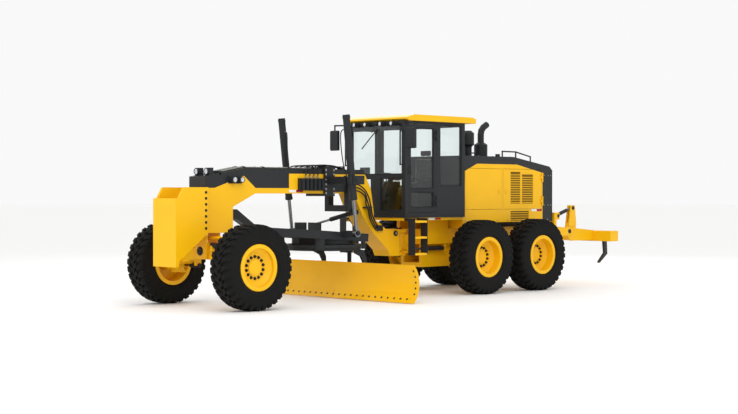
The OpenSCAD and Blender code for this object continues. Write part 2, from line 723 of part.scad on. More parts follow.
module blade_carrier() color(dark) from_axle() difference() {
    union() {
        pair() {
            side([[pitch_x - 50, 115], [pitch_x + 35, 115], [-2888, 130], [-2888, 270], [-2950, 275], [-2950, 405],
                [-2888, 410], [-2888, 550], [-2960, 560], [pitch_x - 50, 420]], arm_y[0] - 45, arm_y[0] - clear);
            for (z = rail_z) block([-2950, 380, z - 70], [-2888, arm_y[0] - 20, z + 70]);
        }
        bar_y(-3000, -arm_y[0] + 10, arm_y[0] - 10, shift_z, 42);
        pair() side([[-3000, 300], [-3000, 380], [pitch_rod_x - 15, 205], [pitch_rod_x - 25, 120],
            [pitch_rod_x + 35, 120]], 25, 50);
        block([-2985, 395, shift_z - 35], [-2860, 430, shift_z + 35]);
        bar_y(shift_x, -990, 400, shift_z, 17);
    }
    rails(gap);
    pair() bar_y(pitch_x, arm_y[0] - 60, arm_y[1], pitch_z, 25 + fit);
}

module moldboard() color(yellow) from_axle() difference() {
    union() {
        intersection() {
            difference() {
                bar_y(blade_axis, -blade_l / 2, blade_l / 2, blade_mid, blade_r + blade_t);
                bar_y(blade_axis, -blade_l, blade_l, blade_mid, blade_r);
            }
            block([blade_x - 300, -blade_l, blade_bottom], [blade_x + 20, blade_l, blade_top]);
        }
        difference() {
            rails(0);
            bar_y(blade_axis, -blade_l, blade_l, blade_mid, blade_r + blade_t / 2);
        }
        bar_y(shift_x, -1700, -300, shift_z, 34);
        for (y = [-1680, -700]) block([shift_x - 10, y, shift_z - 25], [-2845, y + 40, shift_z + 25]);
    }
    bar_y(shift_x, -1690, -299, shift_z, 17 + fit);
}

// Rear frame, tandem cases and powertrain
rail_y = [290, 370];
chassis_z = [900, 1180];
chassis_front = 1565;
tail_x = -1885;
guard_x = [685, 1465];
guard_y = [200, 260];
guard_z = [480, 560];
hitch_z = [640, 905];
hitch_pin_r = 25;
ripper_pin_r = 30;
ripper_base_r = 22;

module rear_frame() color(yellow) from_pivot() difference() {
    union() {
        pair() {
            block([tail_x, rail_y[0], chassis_z[0]], [chassis_front, rail_y[1], chassis_z[1]]);
            block([cab_rear + 40, rail_y[0], chassis_z[1] - 5], [guard_x[1], rail_y[1], cab_bottom - 50]);
            block([tail_x + 150, rail_y[0], chassis_z[1] - 5], [tail_x + 350, rail_y[1], 1300]);
            ripper_lugs();
            block([guard_x[0], guard_y[0], guard_z[0]], [guard_x[1], guard_y[1], chassis_z[0] + 5]);
            for (x = [guard_x[0], guard_x[1] - 80])
                block([x, guard_y[0], chassis_z[0]], [x + 80, rail_y[0] + 1, chassis_z[0] + 60]);
            block([art_base - 45, rail_y[0], art_z - 50], [art_base - gap, rail_y[1], chassis_z[0] + 5]);
        }
        block([guard_x[0], -guard_y[1], guard_z[0]], [guard_x[1], guard_y[1], guard_z[1]]);
        block([chassis_front - 80, -rail_y[1], chassis_z[0]], [chassis_front, rail_y[1], chassis_z[1]]);
        block([chassis_front - 40, -110, 800], [hinge_ahead, 110, 1080]);
        bar_z(hinge_ahead, 0, hinge_bottom + hinge_t + clear, hinge_top - hinge_t - clear, 125);
        bar_z(hinge_ahead, 0, hinge_bottom, hinge_top, hinge_d / 2);
        block([cab_rear - 20, -700, cab_bottom - 50], [cab_front - 20, 700, cab_bottom]);
        block([tail_x - 70, -ripper_y - 80, chassis_z[0]], [tail_x + 1, ripper_y + 80, 1450]);
        for (x = [guard_x[0], tail_x + 70])
            block([x, -hood_w / 2, chassis_z[1] - 5], [x + 80, hood_w / 2, hood_bottom]);
        block([tail_x - 170, -90, hitch_z[0]], [tail_x - 40, 90, hitch_z[1]]);
    }
    translate([tail_x - 171, -100, 720]) cube([100, 200, 90]);
    bar_z(tail_x - 120, 0, hitch_z[0] - 40, hitch_z[1] + 45, hitch_pin_r);
}

// Forks and pins for one ripper arm and its cylinder
module ripper_lugs() {
    for (y = [ripper_y - 60, ripper_y + 25])
        side([[tail_x + 5, 940], [tail_x + 5, chassis_z[1]], [ripper_x, ripper_z + 70],
            [ripper_x - 60, ripper_z + 40], [ripper_x - 60, ripper_z - 60], [ripper_x, ripper_z - 70]], y, y + 35);
    for (y = [ripper_y - 78, ripper_y + 43]) block([tail_x - 165, y, 1310], [tail_x - 60, y + 35, 1450]);
    bar_y(ripper_x, ripper_y - 60, ripper_y + 60, ripper_z, ripper_pin_r);
    bar_y(ripper_base[0], ripper_y - 78, ripper_y + 78, ripper_base[2], ripper_base_r);
}

drive_axle_z = 760;
drive_axle_r = 150;

module tandem_cases() color(yellow) from_axle() pair() {
    for (x = [mid_x, rear_x]) {
        bar_y(x, case_in, case_out, axle_z, 215);
        bar_y(x, case_out - 1, case_out + case_boss, axle_z, 110);
        bar_y(x, case_out - 1, track / 2 + rim_half - rear_disc_depth - 15, axle_z, spindle_d / 2);
    }
    block([rear_x, case_in, axle_z - 190], [mid_x, case_out, axle_z + 190]);
    bar_y(-wheelbase, rail_y[1] + gap, case_in + 1, drive_axle_z, drive_axle_r);
}

module powertrain() color(dark) from_pivot() {
    block([-1485, -270, 1185], [-485, 270, 2050]);
    block([-486, -270, 780], [605, 270, 1300]);
    bar_y(0, -rail_y[0] + gap, rail_y[0] - gap, drive_axle_z, drive_axle_r);
}

// Hood shell with its door openings, grilles, tail lamps and hand rails
roof_break = -675;
tail_break = -1765;
tail_break_z = 2356;
tail_z = 2280;
hood_outline = [[hood_front, hood_bottom], [hood_front, hood_top], [roof_break, hood_top],
    [tail_break, tail_break_z], [hood_rear, tail_z], [hood_rear, hood_bottom]];
inner_outline = [[hood_front - hood_t, hood_bottom - 1], [hood_front - hood_t, hood_top - hood_t],
    [roof_break + 5, hood_top - hood_t], [tail_break + 15, tail_break_z - hood_t], [hood_rear + hood_t, tail_z - 10],
    [hood_rear + hood_t, hood_bottom - 1]];
door_front = hood_front - 60;
door_rear = -1525;
door_top = 2290;
door_hinges = [door_z + 150, door_top - 150];
door_gap = 20;
grille_y = 450;
grille_z = [1400, 2150];
grille_pitch = 90;
grille_bar = 16;
slat_pitch = 44;
slat_h = 14;
pocket = 14;
// Louvred fields as [rear, front, bottom, top]
door_louvres = [[-876, -588, 1633, 2240], [-1259, -927, 1633, 2193]];
sill_louvre = [-1132, -588, 1305, 1490];
tail_lamp_y = [490, 610];
tail_lamp_z = [1950, 2090];
tube_r = 14;
hood_rail_y = 520;
hood_rail = [[-495, 2630], [-892, 2627], [-1333, 2542]];

// Height of the hood's top at a station
function hood_roof(x) = hood_top - max(0, roof_break - x) * (hood_top - tail_break_z) / (roof_break - tail_break);

module engine_opening(x0, x1, grow) block([x0 - grow, 0, door_z - grow], [x1 + grow, hood_w, door_top + grow]);

module louvre_pocket(f) block([f[0], hood_w / 2 - pocket, f[2]], [f[1], hood_w / 2 + 1, f[3]]);

module louvre_slats(f) for (z = [f[2] + slat_h:slat_pitch:f[3] - 2 * slat_h])
    block([f[0] - 1, hood_w / 2 - pocket - 1, z], [f[1] + 1, hood_w / 2 - 3, z + slat_h]);

module hood() color(yellow) from_pivot() {
    difference() {
        side(hood_outline, -hood_w / 2, hood_w / 2);
        side(inner_outline, -hood_w / 2 + hood_t, hood_w / 2 - hood_t);
        pair() {
            engine_opening(door_split + door_gap, door_front, clear);
            engine_opening(door_rear, door_split - door_gap, clear);
            louvre_pocket(sill_louvre);
        }
        block([hood_rear - 1, -grille_y, grille_z[0]], [hood_rear + hood_t + 1, grille_y, grille_z[1]]);
    }
    for (y = [-grille_y + grille_pitch:grille_pitch:grille_y - 1])
        block([hood_rear + 3, y - grille_bar / 2, grille_z[0] - 1],
            [hood_rear + 19, y + grille_bar / 2, grille_z[1] + 1]);
    for (z = [grille_z[0] + 250, grille_z[1] - 250])
        block([hood_rear + 8, -grille_y - 1, z], [hood_rear + 24, grille_y + 1, z + grille_bar]);
    bar_z(roof_break + 60, 300, hood_top - 2, hood_top + 60, 45);
    pair() {
        louvre_slats(sill_louvre);
        for (z = door_hinges) {
            hinge_bracket(door_front + clear, hood_w / 2, z, 1);
            hinge_bracket(door_rear - clear, hood_w / 2, z, -1);
        }
        block([hood_rear - 34, tail_lamp_y[0], tail_lamp_z[0]], [hood_rear + 2, tail_lamp_y[1], tail_lamp_z[1]]);
        hood_hand_rail();
    }
}

module hood_hand_rail() for (i = [0:len(hood_rail) - 1]) {
    p = hood_rail[i];
    bar_z(p[0], hood_rail_y, hood_roof(p[0]) - 10, p[1], tube_r);
    translate([p[0], hood_rail_y, p[1]]) sphere(tube_r + 2);
    if (i > 0) bar([hood_rail[i - 1][0], hood_rail_y, hood_rail[i - 1][1]], [p[0], hood_rail_y, p[1]], tube_r);
}

module engine_door(x0, x1, hinge_at, dir, fields) {
    difference() {
        block([x0, hood_w / 2 - hood_t, door_z], [x1, hood_w / 2, door_top]);
        for (z = door_hinges) bar_z(hinge_at, hood_w / 2 + hinge_out, z - 1.5 * hinge_h - 2, z + 1.5 * hinge_h + 2,
            hinge_knuckle_r + 2);
        for (f = fields) louvre_pocket(f);
    }
    for (f = fields) louvre_slats(f);
    for (z = door_hinges) hinge_leaf(hinge_at, hood_w / 2, z, dir);
    latch_x = dir > 0 ? x1 - 78 : x0 + 86;
    block([latch_x - 26, hood_w / 2 - 2, 1815], [latch_x + 26, hood_w / 2 + 8, 1905]);
    bar_y(latch_x, hood_w / 2 + 6, hood_w / 2 + 14, 1860, 18);
}

module engine_door_front(hand) color(yellow) from_pivot() handed(hand)
    engine_door(door_split + door_gap, door_front, door_front + clear, -1, []);

module engine_door_rear(hand) color(yellow) from_pivot() handed(hand)
    engine_door(door_rear, door_split - door_gap, door_rear - clear, 1, door_louvres);

// Silencer with a raked tail pipe, and the air cleaner's intake
pipe_x = -465;
pipe_r = 62;
pipe_bend = [[-465, 2960], [-482, 3040], [-540, 3105], [-640, 3165]];
intake_x = -100;

module exhaust() color(dark) from_pivot() {
    bar_z(pipe_x, 0, hood_top, 2770, 130);
    translate([pipe_x, 0, 2769]) cylinder(r1 = 130, r2 = pipe_r, h = 46);
    bar_z(pipe_x, 0, 2800, pipe_bend[0][1], pipe_r);
    difference() {
        union() for (i = [1:len(pipe_bend) - 1]) {
            p = pipe_bend[i - 1];
            q = pipe_bend[i];
            translate([p[0], 0, p[1]]) sphere(pipe_r + 1);
            bar([p[0], 0, p[1]], [q[0], 0, q[1]], pipe_r);
        }
        end = pipe_bend[3];
        way = end - pipe_bend[2];
        bar([end[0] - 0.6 * way[0], 0, end[1] - 0.6 * way[1]], [end[0] + way[0], 0, end[1] + way[1]], pipe_r - 6);
    }
    bar_z(intake_x, 0, hood_top, 2740, 70);
    translate([intake_x, 0, 2720]) cylinder(r1 = 70, r2 = 115, h = 40);
    bar_z(intake_x, 0, 2759, 2980, 115);
    translate([intake_x, 0, 2979]) cylinder(r1 = 115, r2 = 60, h = 50);
}

// Cab: floor and pillars, with the door and window openings cut
cab_half = cab_w / 2;
floor_z = cab_bottom + 40;
sill = cab_bottom + 90;
lintel = cab_top - 50;
post = 90;
// Heights of the panes, down from the lintel
screen_h = 900;
quarter_h = 1100;
rear_pane_h = 560;
screen_bottom = lintel - screen_h;
foot_pane = [cab_bottom + 125, screen_bottom - 60];
foot_pane_y = 120;
quarter_z = lintel - quarter_h;
quarter_x = [cab_rear + post, cab_pillar - 110];
rear_pane_z = lintel - rear_pane_h;
cab_hinges = [sill + 200, lintel - 200];

module cab_frame() color(dark) from_pivot() {
    cab_shell();
    pair() for (z = cab_hinges) hinge_bracket(cab_pillar, cab_half, z, -1);
}

module cab_shell() difference() {
    block([cab_rear, -cab_half, cab_bottom], [cab_front, cab_half, cab_top]);
    block([cab_rear + cab_wall, -cab_half + cab_wall, floor_z],
        [cab_front - cab_wall, cab_half - cab_wall, cab_top + 1]);
    pair() {
        y0 = cab_half - cab_wall - 1;
        block([cab_pillar, y0, sill], [cab_front - 70, cab_half + 1, lintel]);
        block([quarter_x[0], y0, quarter_z], [quarter_x[1], cab_half + 1, lintel]);
        block([cab_front - cab_wall - 1, foot_pane_y, foot_pane[0]], [cab_front + 1, cab_half - post, foot_pane[1]]);
    }
    block([cab_front - cab_wall - 1, -cab_half + post, screen_bottom], [cab_front + 1, cab_half - post, lintel]);
    block([cab_rear - 1, -cab_half + post, rear_pane_z], [cab_rear + cab_wall + 1, cab_half - post, lintel]);
}

module cab_glass() color(tint) from_pivot() {
    front_x = cab_front - cab_wall / 2;
    rear_x = cab_rear + cab_wall / 2;
    pane_y = cab_half - post - gap;
    block([front_x, -pane_y, screen_bottom + gap], [front_x + glass_t, pane_y, lintel - gap]);
    block([rear_x, -pane_y, rear_pane_z + gap], [rear_x + glass_t, pane_y, lintel - gap]);
    pair() {
        block([front_x, foot_pane_y + gap, foot_pane[0] + gap], [front_x + glass_t, pane_y, foot_pane[1] - gap]);
        block([quarter_x[0] + gap, cab_half - cab_wall / 2, quarter_z + gap],
            [quarter_x[1] - gap, cab_half - cab_wall / 2 + glass_t, lintel - gap]);
    }
}

// Door panes, as [bottom, top] heights
door_panes = [[sill + 90, sill + 370], [sill + 420, lintel - 70]];
door_x = [cab_pillar + clear, cab_front - 70 - clear];
door_in = cab_half - 45;
door_rim = 60;
handle_x = door_x[1] - 30;
handle_z = [2170, 2310];

module cab_door(hand) color(dark) from_pivot() handed(hand) {
    difference() {
        block([door_x[0], door_in, sill + clear], [door_x[1], cab_half, lintel - clear]);
        for (p = door_panes)
            block([door_x[0] + door_rim, door_in - 1, p[0]], [door_x[1] - door_rim, cab_half + 1, p[1]]);
    }
    for (z = cab_hinges) hinge_leaf(cab_pillar, cab_half, z, 1);
    bar_z(handle_x, cab_half + 32, handle_z[0], handle_z[1], 9);
    for (z = [handle_z[0] + 14, handle_z[1] - 14]) bar_y(handle_x, cab_half - 2, cab_half + 32, z, 8);
}

module door_glass(hand) color(tint) from_pivot() handed(hand) for (p = door_panes)
    block([door_x[0] + door_rim + gap, door_in + 18, p[0] + gap],
        [door_x[1] - door_rim - gap, door_in + 18 + glass_t, p[1] - gap]);

module cab_roof() color(yellow) from_pivot()
    side([[cab_front - 60, cab_top], [cab_front + 30, cab_top + 30], [cab_front + 10, cab_top + 60],
        [cab_front - 200, cab_top + roof_t], [cab_rear - 150, cab_top + roof_t],
        [cab_rear - 250, cab_top + roof_t - 30], [cab_rear - 250, cab_top]], -cab_half - 50, cab_half + 50);

// Seat on its pedestal, with arm rests and a head rest
seat_x = [1115, 1610];
seat_z = [1800, 1930];
back_x = [1030, 1170];
back_top = 2490;
arm_rest_z = [2090, 2130];

module seat() color(rubber) from_pivot() {
    block([seat_x[0] + 70, -200, floor_z], [seat_x[1] - 145, 200, seat_z[0] + 1]);
    side([[seat_x[0], seat_z[0]], [seat_x[0], seat_z[1]], [seat_x[1] - 70, seat_z[1] + 15],
        [seat_x[1] - 20, seat_z[1] - 5], [seat_x[1], seat_z[1] - 50], [seat_x[1] - 20, seat_z[0]]], -260, 260);
    side([[back_x[0] + 20, seat_z[1] - 5], [back_x[1], seat_z[1] - 5], [back_x[1] - 30, back_top - 10],
        [back_x[1] - 60, back_top], [back_x[0], back_top - 10]], -240, 240);
    block([back_x[0] + 10, -130, back_top + 20], [back_x[0] + 75, 130, back_top + 135]);
    pair() {
        bar_z(back_x[0] + 40, 60, back_top - 20, back_top + 40, 10);
        bar_y(back_x[0] + 70, 230, 275, (arm_rest_z[0] + arm_rest_z[1]) / 2, 16);
        block([back_x[0] + 45, 268, arm_rest_z[0]], [seat_x[1] - 130, 318, arm_rest_z[1]]);
    }
}

// Steering column with its wheel, and a console with a lever on each side
column_foot = [2115, 0, 1740];
column_top = [1985, 0, 2130];
column_rake = atan2(column_foot[0] - column_top[0], column_top[2] - column_foot[2]);
wheel_r = 175;
console_x = [1415, 1815];
console_y = [330, 480];
console_top = 2050;

module console() color(rubber) from_pivot() {
    side([[2035, floor_z], [2205, floor_z], [2205, 1700], [2150, 1765], [2070, 1765]], -140, 140);
    bar(column_foot, column_top, 50);
    translate(column_top) rotate([0, -column_rake, 0]) {
        rotate_extrude() translate([wheel_r, 0]) circle(r = 17);
        cylinder(r = 60, h = 44, center = true);
        for (a = [90, 210, 330]) rotate([0, 0, a]) rotate([0, 90, 0]) cylinder(r = 12, h = wheel_r);
    }
    pair() {
        side([[console_x[0], floor_z], [console_x[1], floor_z], [console_x[1], console_top - 40],
            [console_x[1] - 60, console_top], [console_x[0], console_top]], console_y[0], console_y[1]);
        bar([console_x[1] - 110, 405, console_top - 10], [console_x[1] - 90, 405, console_top + 110], 11);
        translate([console_x[1] - 90, 405, console_top + 110]) sphere(26);
    }
}

// Mirrors, grab rails, roof lamps and access steps
mirror_z = [cab_top - 500, cab_top - 130];
arm_top = cab_top - 40;
grab_z = [cab_top - 790, cab_top - 170];
roof_lamp_y = [194, 474];
roof_lamp_z = cab_top - 46;
step_x = [2035, 2365];
step_y = [800, 960];
step_z = [740, 1030, 1310];
step_plate = 14;

module cab_fittings() color(dark) from_pivot() pair() {
    mirror_on_arm();
    grab_rail();
    for (y = roof_lamp_y) {
        block([cab_front + gap, y - 50, roof_lamp_z - 40], [cab_front + 22, y + 50, roof_lamp_z + 41]);
        bar_x(cab_front + 18, cab_front + 80, y, roof_lamp_z, 38);
    }
    for (x = [step_x[0], step_x[1] - step_plate]) {
        block([x, step_y[0], step_z[0]], [x + step_plate, step_y[1], cab_bottom - 5]);
        block([x, 700 + gap, cab_bottom - 49], [x + step_plate, step_y[1], cab_bottom - 5]);
    }
    for (z = step_z) block([step_x[0] + 5, step_y[0] + 2, z + 2], [step_x[1] - 5, step_y[1] - 2, z + 32]);
}

module mirror_on_arm() {
    elbow = [cab_front + 85, cab_half + 230, arm_top];
    block([cab_front - 62, cab_half + gap, arm_top - 35], [cab_front - 8, cab_half + 12, arm_top + 35]);
    bar([cab_front - 35, cab_half + 9, arm_top], elbow, tube_r);
    translate(elbow) sphere(tube_r + 2);
    bar_z(elbow[0], elbow[1], mirror_z[1] - 20, arm_top, tube_r);
    side([[elbow[0] - 25, mirror_z[0] + 10], [elbow[0] + 10, mirror_z[0]], [elbow[0] + 30, mirror_z[0] + 25],
        [elbow[0] + 30, mirror_z[1] - 25], [elbow[0] + 10, mirror_z[1]], [elbow[0] - 25, mirror_z[1] - 10]],
        elbow[1] - 100, elbow[1] + 100);
}

module grab_rail() {
    x = cab_front + 80;
    y = cab_half - 50;
    bar_z(x, y, grab_z[0], grab_z[1], tube_r);
    for (z = [grab_z[0] + 16, grab_z[1] - 16]) bar_x(cab_front + gap, x, y, z, tube_r - 2);
}

// Articulation cylinders, beside the hinge pin
art_y = 330;
art_z = 820;
art_base = 965;
art_barrel_end = 1425;
art_rod_r = 22;

module articulation_barrels() color(dark) from_pivot() pair() difference() {
    bar_x(art_base, art_barrel_end, art_y, art_z, 40);
    bar_x(art_base + 50, art_barrel_end + 1, art_y, art_z, art_rod_r + fit);
}

module articulation_rod(hand) color(steel) from_pivot() handed(hand) {
    bar_x(art_barrel_end - 210, hinge_ahead - 20, art_y, art_z, art_rod_r);
    bar_z(hinge_ahead, art_y, art_z - 25, art_z + 25, 40);
}

// Ripper: arms with forked levers, a cross beam and two shanks
ripper_end = -rear_reach;
ripper_base = [tail_x - 125, ripper_y, 1384];
ripper_eye = [ripper_x - 130, ripper_y, 1537];
ripper_dir = (ripper_eye - ripper_base) / norm(ripper_eye - ripper_base);
ripper_beam = 260;
ripper_rod_r = 20;
shank_y = [780, 830];

module ripper() color(yellow) from_pivot() difference() {
    union() {
        pair() {
            side([[ripper_x + 60, ripper_z - 60], [ripper_x + 60, ripper_z + 60], [ripper_x + 20, 1250],
                [ripper_x - 240, 1250], [ripper_x - 260, 1130], [ripper_end + 250, 1080], [ripper_end + 250, 880],
                [ripper_x - 100, 880]], ripper_y - 20, ripper_y + 20);
            for (y = [ripper_y - 45, ripper_y + 23])
                side([[ripper_x + 10, 1180], [ripper_x - 60, 1590], [ripper_x - 190, 1590], [ripper_x - 240, 1180]],
                    y, y + 22);
            block([ripper_x - 235, ripper_y - 45, 1180], [ripper_x + 5, ripper_y + 45, 1250]);
            side([[ripper_end + 200, 1040], [ripper_end + 90, 1040], [ripper_end + 60, 600], [ripper_end + 320, 420],
                [ripper_end + 350, 440], [ripper_end + 150, 620]], shank_y[0], shank_y[1]);
        }
        block([ripper_end, -1050, 860], [ripper_end + ripper_beam, 1050, 1070]);
    }
    pair() bar_y(ripper_x, ripper_y - 30, ripper_y + 30, ripper_z, ripper_pin_r + fit);
}

module ripper_barrels() color(dark) from_pivot() pair() difference() {
    union() {
        bar(ripper_base + 30 * ripper_dir, ripper_base + 380 * ripper_dir, 36);
        bar_y(ripper_base[0], ripper_y - 20, ripper_y + 20, ripper_base[2], 45);
    }
    bar_y(ripper_base[0], ripper_y - 21, ripper_y + 21, ripper_base[2], ripper_base_r + fit);
    bar(ripper_base + 60 * ripper_dir, ripper_base + 381 * ripper_dir, ripper_rod_r + fit);
}

module ripper_rods() color(steel) from_pivot() pair() {
    bar(ripper_base + 118 * ripper_dir, ripper_eye, ripper_rod_r);
    bar_y(ripper_eye[0], ripper_y - 17, ripper_y + 17, ripper_eye[2], 42);
}

rear_frame();
tandem_cases();
powertrain();
hood();
exhaust();
engine_door_front(1);  // engine_door_front_left
engine_door_front(-1);  // engine_door_front_right
engine_door_rear(1);  // engine_door_rear_left
engine_door_rear(-1);  // engine_door_rear_right
cab_frame();
cab_roof();
cab_glass();
cab_door(1);  // cab_door_left
cab_door(-1);  // cab_door_right
door_glass(1);  // door_glass_left
door_glass(-1);  // door_glass_right
seat();
console();
cab_fittings();
articulation_barrels();
articulation_rod(1);  // articulation_rod_left
articulation_rod(-1);  // articulation_rod_right
front_frame();
push_block();
frame_fittings();
saddle();
front_axle();
axle_cylinders();
lean_yoke(1);  // lean_yoke_left
lean_yoke(-1);  // lean_yoke_right
lean_bar();
lean_rod();
knuckle(1);  // knuckle_left
knuckle(-1);  // knuckle_right
steer_rod(1);  // steer_rod_left
steer_rod(-1);  // steer_rod_right
tyre(0, 1);  // tyre_front_left
tyre(0, -1);  // tyre_front_right
tyre(mid_x, 1);  // tyre_mid_left
tyre(mid_x, -1);  // tyre_mid_right
tyre(rear_x, 1);  // tyre_rear_left
tyre(rear_x, -1);  // tyre_rear_right
rim(0, 1, front_disc_depth, front_hub_in);  // rim_front_left
rim(0, -1, front_disc_depth, front_hub_in);  // rim_front_right
rim(mid_x, 1, rear_disc_depth, rear_hub_in);  // rim_mid_left
rim(mid_x, -1, rear_disc_depth, rear_hub_in);  // rim_mid_right
rim(rear_x, 1, rear_disc_depth, rear_hub_in);  // rim_rear_left
rim(rear_x, -1, rear_disc_depth, rear_hub_in);  // rim_rear_right
drawbar();
circle_node();  // circle
blade_carrier();
moldboard();
pitch_rod();
lift_barrels();
lift_rods();
shift_barrel();
shift_rod();
ripper();
ripper_barrels();
ripper_rods();
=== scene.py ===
"""Looks of a motor grader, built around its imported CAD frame: finishes, tyres, fasteners, hoses and trim."""

import logging
import math
from collections import defaultdict
from dataclasses import dataclass, replace
from enum import Enum
from typing import Any, Callable, ClassVar, Iterable, Iterator, Sequence

import bmesh
import bpy
from mathutils import Matrix, Vector


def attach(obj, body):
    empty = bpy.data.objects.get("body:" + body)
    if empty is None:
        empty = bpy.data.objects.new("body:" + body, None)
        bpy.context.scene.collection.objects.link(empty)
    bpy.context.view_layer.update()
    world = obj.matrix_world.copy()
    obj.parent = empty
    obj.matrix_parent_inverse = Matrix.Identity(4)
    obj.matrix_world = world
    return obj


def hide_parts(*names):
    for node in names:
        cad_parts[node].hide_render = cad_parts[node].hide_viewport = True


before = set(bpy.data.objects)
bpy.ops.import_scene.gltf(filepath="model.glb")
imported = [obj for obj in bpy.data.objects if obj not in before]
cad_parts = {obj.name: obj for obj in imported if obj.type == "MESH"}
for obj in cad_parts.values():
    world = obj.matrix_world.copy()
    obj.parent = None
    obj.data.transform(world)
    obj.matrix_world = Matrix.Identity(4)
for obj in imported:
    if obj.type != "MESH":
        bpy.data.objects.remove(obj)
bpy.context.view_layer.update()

log = logging.getLogger("grader")
Point = tuple[float, float, float]
# Two ends of a stretch, or a radius and a height
Span = tuple[float, float]
# Spans of a flat field, across or along the machine and up it
Field = tuple[Span, Span]
# Spans of a box: rear and front, faces from the middle, and bottom and top
Faces = tuple[Span, Span, Span]
# A function that moves a point counted from one axle to the row frame
Placer = Callable[[float, float, float], Point]
UP: Point = (0.0, 0.0, 1.0)
DOWN: Point = (0.0, 0.0, -1.0)
AHEAD: Point = (1.0, 0.0, 0.0)
BACK: Point = (-1.0, 0.0, 0.0)
# Station of the front axle in the row frame, in metres
AXLE_X = 4.400
# Station of the tandem pivot in the row frame
PIVOT_X = -1.765
# Half the distance between the two axles of a tandem
TANDEM_HALF = 0.770
# Stations of the rows of wheels, counted from the front axle
WHEEL_ROWS = {"front": 0.0, "mid": PIVOT_X - AXLE_X + TANDEM_HALF, "rear": PIVOT_X - AXLE_X - TANDEM_HALF}
# Radius of the tyres, which is the height of the wheels' centres
TYRE_RADIUS = 0.674
# Distance of the tyres' middle planes from the machine's
TRACK_HALF = 1.105


class Side(Enum):
    """The machine's left and right sides."""

    LEFT = 1
    RIGHT = -1

    @property
    def word(self) -> str:
        """Gives the side's name in small letters."""
        return self.name.lower()

    @property
    def out(self) -> Point:
        """Gives the way out of the machine."""
        return (0.0, float(self.value), 0.0)

    @property
    def inward(self) -> Point:
        """Gives the way to the machine's middle."""
        return (0.0, -float(self.value), 0.0)


class Scheme(Enum):
    """Which paint pattern a panel carries."""

    PLAIN = "plain"
    FRAME = "frame"
    HOOD = "hood"
    RIPPER = "ripper"


def linear(colour: str) -> tuple[float, float, float, float]:
    """Turns an sRGB hex colour to linear.

    Args:
        colour: six hex digits after a hash sign.

    Returns:
        Linear red, green and blue, with an alpha of one.
    """
    parts = [int(colour[i:i + 2], 16) / 255 for i in (1, 3, 5)]
    r, g, b = (c / 12.92 if c <= 0.04045 else ((c + 0.055) / 1.055) ** 2.4 for c in parts)
    return (r, g, b, 1.0)


def station(x: float, y: float, z: float) -> Point:
    """Moves a point counted from the front axle to the row frame."""
    return (x + AXLE_X, y, z)


def pivot(x: float, y: float, z: float) -> Point:
    """Moves a point counted from the tandem pivot to the row frame."""
    return (x + PIVOT_X, y, z)


def on_side(place: Placer, side: Side, points: Iterable[Point]) -> list[Point]:
    """Places points that are given for the left side.

    Args:
        place: station or pivot, whichever x counts from.
        side: the side of the machine.
        points: the points.

    Returns:
        The points in the row frame.
    """
    return [place(x, side.value * y, z) for x, y, z in points]


def rectangle(us: Span, vs: Span) -> tuple[Span, Span, Span, Span]:
    """Gives a rectangle's corners in order."""
    return ((us[0], vs[0]), (us[1], vs[0]), (us[1], vs[1]), (us[0], vs[1]))


def scaled(profile: Iterable[Span], radius: float) -> list[Span]:
    """Turns shares of a radius, each with a height, to radii with the same heights."""
    return [(share * radius, height) for share, height in profile]


def wheels() -> Iterator[tuple[str, float, Side]]:
    """Gives each wheel's name, station and side."""
    for row, x in WHEEL_ROWS.items():
        for side in Side:
            yield f"{row}_{side.word}", x, side


def place_object(name: str, data: bpy.types.ID) -> bpy.types.Object:
    """Makes an object of a mesh, a camera or a light, and puts it in the scene."""
    thing = bpy.data.objects.new(name, data)
    bpy.context.scene.collection.objects.link(thing)
    return thing


def set_up(tree: bpy.types.NodeTree, node: bpy.types.Node, settings: dict[Any, Any] | None = None,
           links: dict[Any, bpy.types.NodeSocket] | None = None) -> None:
    """Sets a shader node up.

    Args:
        tree: the material's node tree.
        node: the node.
        settings: the node's own settings, and values of its inputs by name or number.
        links: sockets to join to its inputs, by name or number.
    """
    for key, value in (settings or {}).items():
        if isinstance(key, str) and hasattr(node, key):
            setattr(node, key, value)
        else:
            node.inputs[key].default_value = value
    for key, socket in (links or {}).items():
        tree.links.new(socket, node.inputs[key])


def add_node(tree: bpy.types.NodeTree, kind: str, settings: dict[Any, Any] | None = None,
             links: dict[Any, bpy.types.NodeSocket] | None = None) -> bpy.types.Node:
    """Adds one shader node.

    Args:
        tree: the material's node tree.
        kind: the node's type name.
        settings: as for set_up.
        links: as for set_up.

    Returns:
        The new node.
    """
    node = tree.nodes.new(kind)
    set_up(tree, node, settings, links)
    return node


def new_material(name: str) -> tuple[bpy.types.Material, bpy.types.Node, bpy.types.NodeSocket]:
    """Starts a material.

    Args:
        name: the finish's name.

    Returns:
        The material, its surface shader, and the object's own coordinates.
    """
    material = bpy.data.materials.new(name)
    material.use_nodes = True
    tree = material.node_tree
    tree.nodes.clear()
    shader = add_node(tree, "ShaderNodeBsdfPrincipled")
    add_node(tree, "ShaderNodeOutputMaterial", links={"Surface": shader.outputs[0]})
    place = add_node(tree, "ShaderNodeTexCoord").outputs["Object"]
    return material, shader, place


# A half plane keeps the points where a*x + b*z + c is above zero, with x a station in metres
HalfPlane = tuple[float, float, float]


def above_line(x0: float, z0: float, x1: float, z1: float) -> HalfPlane:
    """Gives the half plane above a line through two points of a side view."""
    slope = (z1 - z0) / (x1 - x0)
    return (-slope, 1.0, slope * x0 - z0)


def above(z: float) -> HalfPlane:
    """Gives the half plane above a height."""
    return (0.0, 1.0, -z)


def below(z: float) -> HalfPlane:
    """Gives the half plane below a height."""
    return (0.0, -1.0, z)


def ahead_of(x: float) -> HalfPlane:
    """Gives the half plane in front of a station."""
    return (1.0, 0.0, -x)


def behind(x: float) -> HalfPlane:
    """Gives the half plane behind a station."""
    return (-1.0, 0.0, x)


